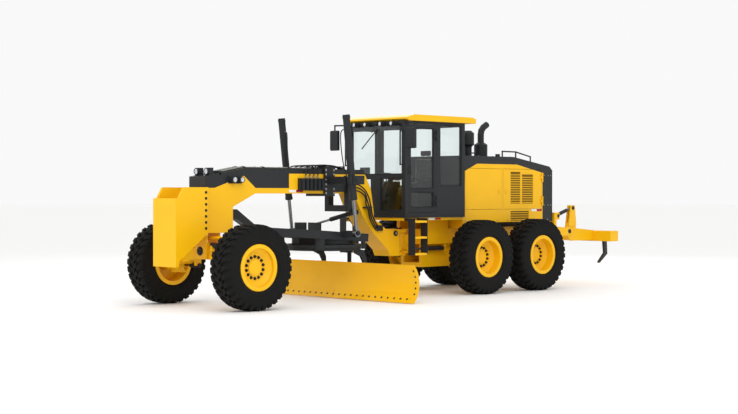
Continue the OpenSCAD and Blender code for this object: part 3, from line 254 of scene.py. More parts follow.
# The flash on the frame: its peak, its foot and its rear end, and the lines that fall from the peak
FLASH_PEAK = (-0.590, 2.109)
FLASH_FOOT = above(1.912)
FLASH_REAR = ahead_of(-1.557)
NOSE_LINE = above_line(0.198, 1.852, *FLASH_PEAK)
PEAK_LINE = above_line(*FLASH_PEAK, -0.779, 1.956)
# Dark areas of each scheme: a union of regions, each region the overlap of its half planes
DARK_AREAS: dict[Scheme, list[list[HalfPlane]]] = {
    Scheme.PLAIN: [],
    Scheme.FRAME: [
        [FLASH_FOOT, FLASH_REAR, NOSE_LINE],
        [FLASH_FOOT, FLASH_REAR, PEAK_LINE, behind(FLASH_PEAK[0])],
        [above(2.155), ahead_of(-3.330)],
    ],
    Scheme.HOOD: [
        [above_line(-5.367, 2.205, -5.766, 2.371)],
        [above(2.379)],
        [above_line(-6.943, 2.379, -7.723, 2.228)],
        [behind(-7.715)],
    ],
    Scheme.RIPPER: [[below(0.858)]],
}

ENAMEL_YELLOW = "#F6BC0E"
ENAMEL_DARK = "#26282A"
# Typical IOR of enamel, rubber and plastics
COMMON_IOR = 1.5


@dataclass(frozen=True)
class SprayedPaint:
    """Two-pack enamel sprayed on primed steel: glossy with a faint orange peel, matt where edges wear."""

    name: str
    colour: str
    worn: str
    roughness: float
    coat: float
    scheme: Scheme = Scheme.PLAIN
    # Thin and thick passes of the gun show as soft patches
    patch_mm: ClassVar[float] = 400.0
    # Orange peel has cells of 2 mm, drawn at 9 mm so that it shows
    peel_mm: ClassVar[float] = 9.0
    # Scuffs break up the wear along an edge
    scuff_mm: ClassVar[float] = 60.0
    edge_mm: ClassVar[float] = 6.0
    specular: ClassVar[float] = 0.22
    coat_roughness: ClassVar[float] = 0.12
    # What a thin pass multiplies the paint's colour by
    thin: ClassVar[tuple[float, ...]] = (0.72, 0.70, 0.66, 1.0)

    def build(self) -> bpy.types.Material:
        """Makes the material."""
        material, shader, place = new_material(self.name)
        tree = material.node_tree
        cloud = add_node(tree, "ShaderNodeTexNoise", {"Scale": 1000 / self.patch_mm, "Detail": 3.0},
                         {"Vector": place})
        peel = add_node(tree, "ShaderNodeTexNoise", {"Scale": 1000 / self.peel_mm, "Detail": 1.0},
                        {"Vector": place})
        scuff = add_node(tree, "ShaderNodeTexNoise", {"Scale": 1000 / self.scuff_mm, "Detail": 5.0},
                         {"Vector": place})
        edge = add_node(tree, "ShaderNodeBevel", {"samples": 4, "Radius": self.edge_mm / 1000})
        flat = add_node(tree, "ShaderNodeNewGeometry")
        bend = add_node(tree, "ShaderNodeVectorMath", {"operation": "DOT_PRODUCT"},
                        {0: edge.outputs[0], 1: flat.outputs["Normal"]})
        worn = add_node(tree, "ShaderNodeMapRange", {"From Min": 0.985, "From Max": 0.80},
                        {"Value": bend.outputs["Value"]})
        patch = add_node(tree, "ShaderNodeMapRange", {"From Min": 0.45, "From Max": 0.75, "To Max": 0.8},
                         {"Value": scuff.outputs["Fac"]})
        wear = add_node(tree, "ShaderNodeMath", {"operation": "MULTIPLY"},
                        {0: worn.outputs[0], 1: patch.outputs[0]})
        tone = add_node(tree, "ShaderNodeMapRange", {"From Min": 0.3, "From Max": 0.7, "To Max": 0.16},
                        {"Value": cloud.outputs["Fac"]})
        shade = add_node(tree, "ShaderNodeMix", {"data_type": "RGBA", "blend_type": "MULTIPLY", 7: self.thin},
                         {0: tone.outputs[0], 6: self.paint(tree, place)})
        colour = add_node(tree, "ShaderNodeMix", {"data_type": "RGBA", 7: linear(self.worn)},
                          {0: wear.outputs[0], 6: shade.outputs[2]})
        gloss = add_node(tree, "ShaderNodeMapRange",
                         {"To Min": self.roughness - 0.06, "To Max": self.roughness + 0.10},
                         {"Value": scuff.outputs["Fac"]})
        bump = add_node(tree, "ShaderNodeBump", {"Strength": 0.06, "Distance": 0.0006},
                        {"Height": peel.outputs["Fac"], "Normal": edge.outputs[0]})
        set_up(tree, shader,
               {"Coat Weight": self.coat, "Coat Roughness": self.coat_roughness, "IOR": COMMON_IOR,
                "Specular IOR Level": self.specular},
               {"Base Color": colour.outputs[2], "Roughness": gloss.outputs[0], "Normal": bump.outputs[0]})
        return material

    def paint(self, tree: bpy.types.NodeTree, place: bpy.types.NodeSocket) -> bpy.types.NodeSocket:
        """Lays out the pattern of the two paints.

        Args:
            tree: the material's node tree.
            place: the object's own coordinates.

        Returns:
            The socket with the paint's colour.
        """
        union = None
        for area in DARK_AREAS[self.scheme]:
            inside = None
            for a, b, c in area:
                dot = add_node(tree, "ShaderNodeVectorMath", {"operation": "DOT_PRODUCT", 1: (a, 0.0, b)},
                               {0: place})
                # The station is x less the axle's place, so the constant takes that up
                test = add_node(tree, "ShaderNodeMath", {"operation": "GREATER_THAN", 1: a * AXLE_X - c},
                                {0: dot.outputs["Value"]})
                inside = test if inside is None else add_node(
                    tree, "ShaderNodeMath", {"operation": "MULTIPLY"},
                    {0: inside.outputs[0], 1: test.outputs[0]})
            union = inside if union is None else add_node(
                tree, "ShaderNodeMath", {"operation": "MAXIMUM"}, {0: union.outputs[0], 1: inside.outputs[0]})
        settings = {"data_type": "RGBA", 0: 0.0, 6: linear(self.colour), 7: linear(ENAMEL_DARK)}
        mix = add_node(tree, "ShaderNodeMix", settings, {0: union.outputs[0]} if union else {})
        return mix.outputs[2]


@dataclass(frozen=True)
class PlainFinish:
    """A finish of one colour, broken up by a fine grain in its colour, gloss and surface."""

    name: str
    colour: str
    second: str
    roughness: float
    grain_mm: float
    bump: float
    metallic: float = 0.0
    sheen: float = 0.0
    specular: float = 0.3
    # Soft patches of handling and dust
    patch_mm: ClassVar[float] = 180.0

    def build(self) -> bpy.types.Material:
        """Makes the material."""
        material, shader, place = new_material(self.name)
        tree = material.node_tree
        grain = add_node(tree, "ShaderNodeTexNoise", {"Scale": 1000 / self.grain_mm, "Detail": 4.0},
                         {"Vector": place})
        patch = add_node(tree, "ShaderNodeTexNoise", {"Scale": 1000 / self.patch_mm, "Detail": 4.0},
                         {"Vector": place})
        both = add_node(tree, "ShaderNodeMath", {"operation": "MULTIPLY"},
                        {0: grain.outputs["Fac"], 1: patch.outputs["Fac"]})
        share = add_node(tree, "ShaderNodeMapRange", {"From Min": 0.12, "From Max": 0.42},
                         {"Value": both.outputs[0]})
        colour = add_node(tree, "ShaderNodeMix",
                          {"data_type": "RGBA", 6: linear(self.colour), 7: linear(self.second)},
                          {0: share.outputs[0]})
        gloss = add_node(tree, "ShaderNodeMapRange",
                         {"To Min": max(0.02, self.roughness - 0.08),
                          "To Max": min(1.0, self.roughness + 0.10)},
                         {"Value": patch.outputs["Fac"]})
        # Grains stand up by a quarter of their width
        bump = add_node(tree, "ShaderNodeBump", {"Strength": self.bump, "Distance": self.grain_mm / 1000 / 4},
                        {"Height": grain.outputs["Fac"]})
        set_up(tree, shader,
               {"Metallic": self.metallic, "Sheen Weight": self.sheen, "Specular IOR Level": self.specular},
               {"Base Color": colour.outputs[2], "Roughness": gloss.outputs[0], "Normal": bump.outputs[0]})
        if not self.metallic:
            set_up(tree, shader, {"IOR": COMMON_IOR})
        return material


@dataclass(frozen=True)
class ClearGlass:
    """Glass or clear plastic, with a faint cast of its own and a film of dust that shows as uneven gloss."""

    name: str
    colour: str
    roughness: float
    film_mm: ClassVar[float] = 250.0
    # A thin pane hardly bends the view through it
    ior: ClassVar[float] = 1.02
    coat: ClassVar[float] = 0.6
    coat_roughness: ClassVar[float] = 0.02

    def build(self) -> bpy.types.Material:
        """Makes the material."""
        material, shader, place = new_material(self.name)
        tree = material.node_tree
        film = add_node(tree, "ShaderNodeTexNoise", {"Scale": 1000 / self.film_mm, "Detail": 5.0},
                        {"Vector": place})
        gloss = add_node(tree, "ShaderNodeMapRange",
                         {"From Min": 0.35, "From Max": 0.75, "To Min": self.roughness,
                          "To Max": self.roughness + 0.05},
                         {"Value": film.outputs["Fac"]})
        set_up(tree, shader,
               {"Base Color": linear(self.colour), "Transmission Weight": 1.0, "IOR": self.ior,
                "Coat Weight": self.coat, "Coat Roughness": self.coat_roughness},
               {"Roughness": gloss.outputs[0]})
        return material


Finish = SprayedPaint | PlainFinish | ClearGlass

# Yellow enamel, sprayed: warm and glossy, and paler where it wears
YELLOW = SprayedPaint("yellow_enamel_sprayed", ENAMEL_YELLOW, "#CFA02A", 0.34, 0.06)
YELLOW_FRAME = replace(YELLOW, name="yellow_enamel_with_dark_flash", scheme=Scheme.FRAME)
YELLOW_HOOD = replace(YELLOW, name="yellow_enamel_with_dark_top", scheme=Scheme.HOOD)
YELLOW_RIPPER = replace(YELLOW, name="yellow_enamel_with_dark_shanks", scheme=Scheme.RIPPER)
# Charcoal enamel, sprayed with no clear coat: half matt
DARK = SprayedPaint("charcoal_enamel_sprayed", ENAMEL_DARK, "#46494B", 0.45, 0.0)
# Screens behind the louvres: the yellow enamel on woven wire, darkened as painted shade of the recess behind
# the slats
SCREEN_WIRE = SprayedPaint("yellow_enamel_painted_shade", "#9A7418", "#7A5C16", 0.55, 0.0)
# Tyre tread rubber, moulded: deep black, dull, greyed by dust in its pores
RUBBER = PlainFinish("tyre_rubber_moulded", "#0A0A0A", "#151413", 0.80, 14.0, 0.35, specular=0.2)
# Hose and seal rubber, extruded: smooth black with a soft sheen
HOSE = PlainFinish("hose_rubber_extruded", "#121213", "#1F1F20", 0.5, 6.0, 0.2)
# Cylinder rods, hard chrome ground and polished: mirror bright with a fine grain
CHROME = PlainFinish("hard_chrome_polished", "#8B8E91", "#75787B", 0.20, 3.0, 0.05, metallic=1.0)
# Zinc plated fasteners, rolled and plated: grey with a slight haze
ZINC = PlainFinish("zinc_plated_steel", "#A9A9A4", "#85857F", 0.38, 5.0, 0.15, metallic=1.0)
# Hardened steel of wheel nuts and of the blade's and the push block's bolts, forged: blue grey scale
EDGE_STEEL = PlainFinish("hardened_edge_steel", "#4A4A4B", "#2E2D2D", 0.45, 12.0, 0.3, metallic=0.9)
# Grey iron as cast for engine and transmission: sandy skin with a thin coat of dark primer
IRON = PlainFinish("grey_iron_cast", "#3B3C3D", "#2A2A2B", 0.65, 8.0, 0.5)
# Moulded ABS of console and lamp housings: fine spark-eroded grain
ABS = PlainFinish("abs_moulded_grained", "#26282A", "#303234", 0.55, 4.0, 0.3)
# Woven seat cloth, polyester: threads of 3 mm drawn at 6 mm so that they show
CLOTH = PlainFinish("polyester_cloth_woven", "#2B2D30", "#414448", 0.9, 6.0, 0.6, sheen=0.4)
# Float glass, tinted: clear with a faint green cast
GLASS = ClearGlass("float_glass_tinted", "#F3F9F8", 0.01)
# Lamp lenses: polycarbonate, moulded and hard coated, clear and bright
LENS = ClearGlass("polycarbonate_lens", "#FFFFFF", 0.03)
# Lamp bowls and mirrors: aluminium vapour on plastic or glass, mirror bright
SILVER = PlainFinish("vapour_aluminium", "#E6E8EA", "#D8DADC", 0.06, 20.0, 0.0, metallic=1.0)
# Retroreflective tape: beads under a clear film give it a faint sparkle
TAPE_RED = PlainFinish("retroreflective_tape_red", "#B5161C", "#98141A", 0.35, 3.0, 0.2)
TAPE_WHITE = PlainFinish("retroreflective_tape_white", "#F2F2EE", "#DADAD6", 0.35, 3.0, 0.2)
# Red lens of tail lamps: moulded acrylic, deep and glossy
RED_LENS = PlainFinish("acrylic_lens_red", "#9E1015", "#7C0D11", 0.12, 9.0, 0.1)
# White lens of the reversing lamps: moulded acrylic, milky inside
LENS_MILKY = PlainFinish("acrylic_lens_milky", "#E8E8E2", "#D2D2CC", 0.15, 9.0, 0.1)
# Bonded glass of a display that is off: black and smooth with a dust film
SCREEN = PlainFinish("display_glass_bonded", "#0C0E10", "#15181A", 0.12, 30.0, 0.0, specular=0.5)


class Palette:
    """The finishes, each built once."""

    def __init__(self) -> None:
        """Starts with no finish built."""
        self._made: dict[str, bpy.types.Material] = {}

    def get(self, finish: Finish) -> bpy.types.Material:
        """Gives a finish's material.

        Args:
            finish: one of the finishes above.

        Returns:
            Its material, made on the first call.
        """
        if finish.name not in self._made:
            self._made[finish.name] = finish.build()
        return self._made[finish.name]


PALETTE = Palette()


class Shape:
    """A mesh in the making, in the row frame."""

    # Faces of a box, by the numbers of its corners
    BOX_FACES = ((0, 2, 3, 1), (4, 5, 7, 6), (0, 1, 5, 4), (2, 6, 7, 3), (0, 4, 6, 2), (1, 3, 7, 5))
    # Section of a gasket, in shares of its width and height
    GASKET = ((0.0, 0.0), (0.0, 0.6), (0.25, 1.0), (0.75, 1.0), (1.0, 0.6), (1.0, 0.0))

    def __init__(self) -> None:
        """Starts empty."""
        self.mesh = bmesh.new()

    def rings(self, rings: Iterable[Sequence[Sequence[float]]], closed: bool = False) -> None:
        """Skins a row of rings of equal length, capped at both ends unless the row is closed.

        Args:
            rings: rows of points.
            closed: whether the last ring joins the first.
        """
        made = [[self.mesh.verts.new(p) for p in ring] for ring in rings]
        count = len(made[0])
        last = len(made) if closed else len(made) - 1
        for i in range(last):
            a, b = made[i], made[(i + 1) % len(made)]
            for j in range(count):
                k = (j + 1) % count
                self.mesh.faces.new([a[j], a[k], b[k], b[j]])
        if not closed:
            self.mesh.faces.new(list(reversed(made[0])))
            self.mesh.faces.new(made[-1])

    def box(self, low: Point, high: Point, bevel: float = 0.0) -> None:
        """Adds a box with rounded edges.

        Args:
            low: its lowest corner.
            high: its highest corner.
            bevel: the radius of its edges.
        """
        xs, ys, zs = zip(low, high)
        made = [self.mesh.verts.new((x, y, z)) for z in zs for y in ys for x in xs]
        for face in self.BOX_FACES:
            self.mesh.faces.new([made[i] for i in face])
        if bevel:
            edges = {e for v in made for e in v.link_edges}
            bmesh.ops.bevel(self.mesh, geom=list(edges), offset=bevel, segments=2, affect="EDGES",
                            profile=0.6)

    def block(self, place: Placer, xs: Span, ys: Span, zs: Span, bevel: float = 0.0,
              side: Side = Side.LEFT) -> None:
        """Adds a box by its faces, which are given for the left side.

        Args:
            place: station or pivot, whichever x counts from.
            xs: its rear and front.
            ys: its faces' distances from the middle.
            zs: its bottom and top.
            bevel: the radius of its edges.
            side: the side of the machine.
        """
        low, high = sorted(side.value * y for y in ys)
        self.box(place(xs[0], low, zs[0]), place(xs[1], high, zs[1]), bevel)

    def turned(self, profile: Sequence[Span], centre: Point, axis: Point, steps: int,
               start: float = 0.0) -> list[list[Vector]]:
        """Turns a profile about an axis.

        Args:
            profile: radius and height of each point.
            centre: where height zero is.
            axis: the direction of height.
            steps: number of steps round the turn.
            start: where the first step is, in steps.

        Returns:
            The profile's points at each step.
        """
        turn = Vector(UP).rotation_difference(Vector(axis)).to_matrix().to_4x4()
        place = Matrix.Translation(centre) @ turn
        angles = [math.tau * (i + start) / steps for i in range(steps)]
        return [[place @ Vector((r * math.cos(a), r * math.sin(a), h)) for r, h in profile] for a in angles]

    def lathe(self, profile: Sequence[Span], centre: Point, axis: Point, steps: int) -> None:
        """Turns a profile to a solid, capped at its foot and top. Its arguments are those of turned."""
        self.rings(zip(*self.turned(profile, centre, axis, steps)))

    def band(self, profile: Sequence[Span], centre: Point, axis: Point, steps: int) -> None:
        """Turns a closed loop to a ring. Its arguments are those of turned."""
        self.rings(self.turned(profile, centre, axis, steps), closed=True)

    def tube(self, path: Sequence[Sequence[float]], radius: float, sides: int = 10) -> None:
        """Sweeps a round bar along a path.

        Args:
            path: points of its centre line.
            radius: the bar's radius.
            sides: number of sides.
        """
        points = [Vector(p) for p in path]
        rings = []
        normal = None
        for i, p in enumerate(points):
            ahead = (points[min(i + 1, len(points) - 1)] - points[max(i - 1, 0)]).normalized()
            if normal is None:
                normal = ahead.orthogonal().normalized()
            normal = (normal - ahead * normal.dot(ahead)).normalized()
            other = ahead.cross(normal)
            rings.append([p + radius * (math.cos(a) * normal + math.sin(a) * other)
                          for a in (math.tau * j / sides for j in range(sides))])
        self.rings(rings)

    def gasket(self, corners: Sequence[Point], out: Point, width: float, height: float) -> None:
        """Runs a rounded strip round the inside of a rectangle.

        Args:
            corners: the rectangle's corners in order.
            out: the way that the strip stands up.
            width: the strip's width.
            height: its height.
        """
        knots = [Vector(c) for c in corners]
        rings = []
        for i, knot in enumerate(knots):
            inward = (knots[(i + 1) % len(knots)] - knot).normalized() - (knot - knots[i - 1]).normalized()
            rings.append([knot + inward * (width * u) + Vector(out) * (height * v) for u, v in self.GASKET])
        self.rings(rings, closed=True)

    def bolt(self, at: Point, axis: Point, width: float, height: float | None = None) -> None:
        """Adds a hexagon head with its washer.

        Args:
            at: where the washer lies.
            axis: the way that the head points.
            width: size across the flats.
            height: the head's height, six tenths of its width if not given.
        """
        tall = height or 0.6 * width
        washer = 0.12 * width
        radius = width / math.sqrt(3)
        self.lathe([(0.92 * width, -0.002), (0.92 * width, washer)], at, axis, 14)
        self.lathe([(radius, washer * 0.5), (radius, tall * 0.85), (0.8 * radius, tall)], at, axis, 6)

    def done(self, name: str, finish: Finish, body: str, slot: str | None = None,
             angle: float = 35.0) -> bpy.types.Object:
        """Makes the piece.

        Args:
            name: its name.
            finish: its finish.
            body: the CAD body it rides on.
            slot: the name of a material slot; not used.
            angle: edges sharper than this, in degrees, stay sharp.

        Returns:
            The new object.
        """
        bmesh.ops.recalc_face_normals(self.mesh, faces=self.mesh.faces)
        data = bpy.data.meshes.new(name)
        self.mesh.to_mesh(data)
        self.mesh.free()
        data.shade_smooth()
        data.set_sharp_from_angle(angle=math.radians(angle))
        data.materials.append(PALETTE.get(finish))
        piece = place_object(name, data)
        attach(piece, body)
        log.info("%s rides on %s, %d faces", name, body, len(data.polygons))
        return piece


def smooth_path(points: Sequence[Sequence[float]], per_span: int = 8) -> list[Vector]:
    """Runs a smooth line through points.

    Args:
        points: the points, at least two.
        per_span: steps between one point and the next.

    Returns:
        Points of the line.
    """
    knots = [Vector(p) for p in points]
    knots = [2 * knots[0] - knots[1], *knots, 2 * knots[-1] - knots[-2]]
    line = []
    for i in range(1, len(knots) - 2):
        p0, p1, p2, p3 = knots[i - 1:i + 3]
        for s in range(per_span):
            t = s / per_span
            line.append(0.5 * (2 * p1 + (p2 - p0) * t + (2 * p0 - 5 * p1 + 4 * p2 - p3) * t * t
                               + (3 * p1 - p0 - 3 * p2 + p3) * t ** 3))
    return [*line, knots[-2]]


@dataclass(frozen=True)
class SoftBox:
    """One soft box: its place, width and power."""

    name: str
    at: Point
    width: float
    watts: float


@dataclass
class Studio:
    """Camera, floor and lights."""

    camera_at: Point = (18.3755, 18.1145, 1.8018)
    yaw_deg: float = -134.164
    pitch_deg: float = -0.497
    lens_mm: float = 68.956
    sensor_mm: float = 36.0
    view_end: float = 1000.0
    floor_size: float = 400.0
    floor_colour: str = "#FCFCFB"
    floor_roughness: float = 0.8
    surround: float = 0.95
    # The soft boxes point at the machine's middle
    aim: Point = (0.0, 0.0, 1.2)
    boxes: tuple[SoftBox, ...] = (
        SoftBox("key", (9.0, 11.0, 11.0), 9.0, 700.0),
        SoftBox("fill", (14.0, 2.0, 6.0), 8.0, 150.0),
        SoftBox("back", (-9.0, -8.0, 9.0), 9.0, 350.0))

    def build(self) -> None:
        """Sets up what surrounds the machine."""
        self.camera()
        self.floor()
        self.lights()

    def camera(self) -> None:
        """Places the camera where the photograph was taken from."""
        data = bpy.data.cameras.new("camera")
        data.lens = self.lens_mm
        data.sensor_width = self.sensor_mm
        data.sensor_fit = "HORIZONTAL"
        data.clip_end = self.view_end
        camera = place_object("camera", data)
        yaw, pitch = math.radians(self.yaw_deg), math.radians(self.pitch_deg)
        ahead = Vector((math.cos(yaw) * math.cos(pitch), math.sin(yaw) * math.cos(pitch), math.sin(pitch)))
        camera.location = self.camera_at
        camera.rotation_euler = ahead.to_track_quat("-Z", "Y").to_euler()
        bpy.context.scene.camera = camera

    def floor(self) -> None:
        """Lays a plain pale floor."""
        half = self.floor_size / 2
        data = bpy.data.meshes.new("floor")
        data.from_pydata([(x, y, 0) for x, y in rectangle((-half, half), (-half, half))], [], [(0, 1, 2, 3)])
        material, shader, _ = new_material("floor_paint_pale")
        set_up(material.node_tree, shader,
               {"Base Color": linear(self.floor_colour), "Roughness": self.floor_roughness})
        data.materials.append(material)
        floor = place_object("floor", data)

    def lights(self) -> None:
        """Hangs soft boxes over an even white surround."""
        world = bpy.data.worlds.new("studio")
        world.use_nodes = True
        set_up(world.node_tree, world.node_tree.nodes["Background"],
               {"Color": linear("#FFFFFF"), "Strength": self.surround})
        bpy.context.scene.world = world
        # Plain sRGB display, so that the enamel shows in its own colour
        bpy.context.scene.view_settings.view_transform = "Standard"
        for box in self.boxes:
            data = bpy.data.lights.new(box.name, "AREA")
            data.energy = box.watts
            data.size = box.width
            light = place_object(box.name, data)
            light.location = box.at
            light.rotation_euler = (Vector(self.aim) - Vector(box.at)).to_track_quat("-Z", "Y").to_euler()


class CadFinishes:
    """Gives each CAD node its finish."""

    # Nodes by the start of their names. What isn't listed is charcoal
    NODES: dict[Finish, tuple[str, ...]] = {
        YELLOW: ("rear_frame", "cab_roof", "push_block", "moldboard", "rim", "front_axle", "lean_yoke",
                 "lean_bar", "knuckle", "tandem_cases"),
        YELLOW_FRAME: ("front_frame",),
        YELLOW_HOOD: ("hood", "engine_door"),
        YELLOW_RIPPER: ("ripper",),
        DARK: ("ripper_barrels",),
        RUBBER: ("tyre",),
        GLASS: ("cab_glass", "door_glass"),
        CLOTH: ("seat",),
        ABS: ("console",),
        IRON: ("powertrain",),
        CHROME: ("articulation_rod", "steer_rod", "lean_rod", "lift_rods", "shift_rod", "pitch_rod",
                 "ripper_rods"),
    }

    def dress(self) -> None:
        """Puts the finishes on."""
        finishes = {start: finish for finish, starts in self.NODES.items() for start in starts}
        for name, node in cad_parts.items():
            known = [start for start in finishes if name == start or name.startswith(start + "_")]
            finish = finishes[max(known, key=len)] if known else DARK
            node.data.materials.clear()
            node.data.materials.append(PALETTE.get(finish))
            log.info("%s is finished in %s", name, finish.name)


@dataclass(frozen=True)
class TreadBlock:
    """One kind of tread block."""

    # Its top, as radius and distance from the middle plane
    top: tuple[Span, ...]
    # Half its width and its offset round the wheel, in pitches
    half: float
    offset: float
    # How far it leans round the wheel, in radians per metre across
    lean: float


@dataclass
class Tyres:
    """Six tyres with staggered blocks across the tread and over the shoulders."""

    lugs: int = 32
    steps: int = 96
    # Carcass, from the bead to the crown, as radius and distance from the middle plane
    carcass: tuple[Span, ...] = (
        (0.318, 0.1770), (0.366, 0.1772), (0.376, 0.1900), (0.396, 0.2100), (0.412, 0.2165), (0.418, 0.2195),
        (0.426, 0.2195), (0.432, 0.2170), (0.480, 0.2195), (0.486, 0.2215), (0.492, 0.2195), (0.540, 0.2200),
        (0.582, 0.2180), (0.612, 0.2110), (0.636, 0.1930), (0.646, 0.1650), (0.649, 0.0900))
    # From the inner end of a shoulder block to its foot on the sidewall
    shoulder: TreadBlock = TreadBlock(
        ((0.6725, 0.092), (0.6735, 0.130), (0.6690, 0.172), (0.6520, 0.2060), (0.6240, 0.2205),
         (0.5850, 0.2225)), half=0.30, offset=0.0, lean=0.55)
    inner: TreadBlock = TreadBlock(
        ((0.6740, -0.012), (0.6740, 0.030), (0.6735, 0.078)), half=0.31, offset=0.5, lean=0.9)
    # How far the blocks' feet lie below their tops on the crown and on the sidewall
    crown_depth: float = 0.038
    wall_depth: float = 0.004
    # Distance from the middle plane where the sidewall starts, and where the feet of the blocks on it lie
    wall: float = 0.200
    wall_foot: float = 0.190
    # Distance from the middle plane that the lean counts from
    lean_from: float = 0.100
    # Places of the foot's and the top's corners, in shares of the half width, and the foot's extra length
    foot_share: float = 1.12
    top_shares: tuple[float, ...] = (-0.94, -0.3, 0.3, 0.94)
    foot_end: float = 0.004
    sharp_deg: float = 28.0

    def build(self) -> None:
        """Makes the six tyres."""
        for name, x, side in wheels():
            centre = station(x, side.value * TRACK_HALF, TYRE_RADIUS)
            shape = self.tyre(centre, side)
            piece = shape.done(f"tyre_tread_{name}", RUBBER, f"wheel_{name}", "tyre_rubber", self.sharp_deg)
            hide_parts(f"tyre_{name}")

    def tyre(self, centre: Point, side: Side) -> Shape:
        """Makes one tyre.

        Args:
            centre: the middle of the wheel.
            side: the side of the machine, which sets the lean of the blocks.

        Returns:
            The tyre's shape.
        """
        shape = Shape()
        loop = [*self.carcass, *[(r, -t) for r, t in reversed(self.carcass)]]
        shape.band(loop, centre, side.out, self.steps)
        for i in range(self.lugs):
            # The two halves of the tread stand half a pitch apart
            for hand, stagger in ((1, 0.0), (-1, 0.5)):
                for kind in (self.shoulder, self.inner):
                    self.block(shape, centre, side, kind, hand, i + stagger + kind.offset)
        return shape

    def block(self, shape: Shape, centre: Point, side: Side, kind: TreadBlock, hand: int,
              place: float) -> None:
        """Adds one tread block, narrower at its top than at its foot.

        Args:
            shape: the tyre.
            centre: the middle of the wheel.
            side: the side of the machine.
            kind: which block.
            hand: which half of the tread it lies on.
            place: its place round the wheel, in pitches.
        """
        pitch = math.tau / self.lugs
        last = len(kind.top) - 1
        rings = []
        for k, (r, t) in enumerate(kind.top):
            on_wall = t > self.wall
            end = {0: -self.foot_end, last: self.foot_end}.get(k, 0.0)
            foot = (r - self.wall_depth, self.wall_foot) if on_wall else (r - self.crown_depth, t + end)
            corners = [(*foot, self.foot_share), (*foot, -self.foot_share)]
            corners += [(r, t, share) for share in self.top_shares]
            ring = []
            for radius, across, share in corners:
                # On the crown a foot leans as its top does, though it is longer
                lean = kind.lean * ((across if on_wall else t) - self.lean_from)
                angle = (place + share * kind.half) * pitch + lean
                ring.append((centre[0] + radius * math.cos(angle), centre[1] + side.value * hand * across,
                             centre[2] + radius * math.sin(angle)))
            rings.append(ring)
        shape.rings(rings)


@dataclass
class WheelNuts:
    """Studs and nuts that hold each wheel's disc to its hub."""

    count: int = 14
    circle: float = 0.170
    nut: float = 0.030
    nut_height: float = 0.026
    stud: tuple[Span, ...] = ((0.010, 0.0), (0.010, 0.038), (0.008, 0.041))
    stud_steps: int = 10
    # Distance of the discs' outer faces from the wheels' middle planes
    front_face: float = 0.079
    rear_face: float = -0.011

    def build(self) -> None:
        """Makes the nuts of six wheels."""
        for name, x, side in wheels():
            face = self.front_face if x == WHEEL_ROWS["front"] else self.rear_face
            shape = Shape()
            for i in range(self.count):
                a = math.tau * (i + 0.5) / self.count
                at = station(x + self.circle * math.cos(a), side.value * (TRACK_HALF + face),
                             TYRE_RADIUS + self.circle * math.sin(a))
                shape.bolt(at, side.out, self.nut, self.nut_height)
                shape.lathe(self.stud, at, side.out, self.stud_steps)
            shape.done(f"wheel_nuts_{name}", EDGE_STEEL, f"wheel_{name}")


@dataclass
class BladeEdge:
    """Bolted cutting edge and end bits on the blade's curved face."""

    # The face is part of a cylinder: station and height of its axis, and its radius
    axis_x: float = -2.3944
    middle: float = 0.3285
    radius: float = 0.440
    half: float = 1.981
    # Ends of the plates, counted in from the blade's ends, and the gap at the middle
    bit_ends: Span = (0.002, 0.112)
    edge_end: float = 0.118
    gap_half: float = 0.003
    bottom: float = 0.013
    edge_top: float = 0.150
    bit_top: float = 0.560
    thickness: float = 0.010
    sunk: float = 0.002
    curve_steps: int = 8
    sharp_deg: float = 25.0
    # Bolts stand on the plates: their size and height, and their rows along the edge and up the end bits
    head: float = 0.021
    head_height: float = 0.008
    seat: float = 0.0095
    edge_bolts: int = 25
    edge_pitch: float = 0.150
    edge_bolt_z: float = 0.075
    bit_bolts: int = 5
    bit_pitch: float = 0.095
    bit_bolt_z: float = 0.160
    bit_bolt_end: float = 0.055

    def build(self) -> None:
        """Makes the bolts, then the plates."""
        self.bolts()
        self.plates()

    def face(self, y: float, z: float) -> tuple[Point, Point]:
        """Gives a point on the blade's face, and the way out of it.

        Args:
            y: distance from the middle.
            z: height.

        Returns:
            The point and its normal.
        """
        rise = z - self.middle
        run = math.sqrt(self.radius ** 2 - rise ** 2)
        return station(self.axis_x - run, y, z), (run / self.radius, 0.0, -rise / self.radius)

    def bolts(self) -> None:
        """Makes the bolts of the edge and of the end bits."""
        first = -self.edge_pitch * (self.edge_bolts - 1) / 2
        spots = [(first + self.edge_pitch * i, self.edge_bolt_z) for i in range(self.edge_bolts)]
        for y in (-self.half + self.bit_bolt_end, self.half - self.bit_bolt_end):
            spots += [(y, self.bit_bolt_z + self.bit_pitch * i) for i in range(self.bit_bolts)]
        shape = Shape()
        for y, z in spots:
            (x, _, _), out = self.face(y, z)
            shape.bolt((x + self.seat, y, z), out, self.head, self.head_height)
        shape.done("blade_bolts", EDGE_STEEL, "moldboard")

    def plates(self) -> None:
        """Makes the edge in two lengths, and the two end bits."""
        shape = Shape()
        edge = (self.gap_half, self.half - self.edge_end)
        bit = (self.half - self.bit_ends[1], self.half - self.bit_ends[0])
        for ys, top in ((edge, self.edge_top), (bit, self.bit_top)):
            rise = (top - self.bottom) / self.curve_steps
            heights = [self.bottom + rise * k for k in range(self.curve_steps + 1)]
            for side in Side:
                shape.rings(self.section(side.value * y, heights) for y in ys)
        shape.done("cutting_edge", YELLOW, "moldboard", angle=self.sharp_deg)

    def section(self, y: float, heights: Sequence[float]) -> list[Vector]:
        """Gives a plate's section at a distance from the middle, up its back and down its front."""
        back = [self.lifted(y, z, -self.sunk) for z in heights]
        return back + [self.lifted(y, z, self.thickness) for z in reversed(heights)]

    def lifted(self, y: float, z: float, lift: float) -> Vector:
        """Gives a point ahead of the blade's face, by a distance times the forward part of its normal."""
        at, out = self.face(y, z)
        return Vector(at) + lift * Vector((out[0], 0.0, 0.0))


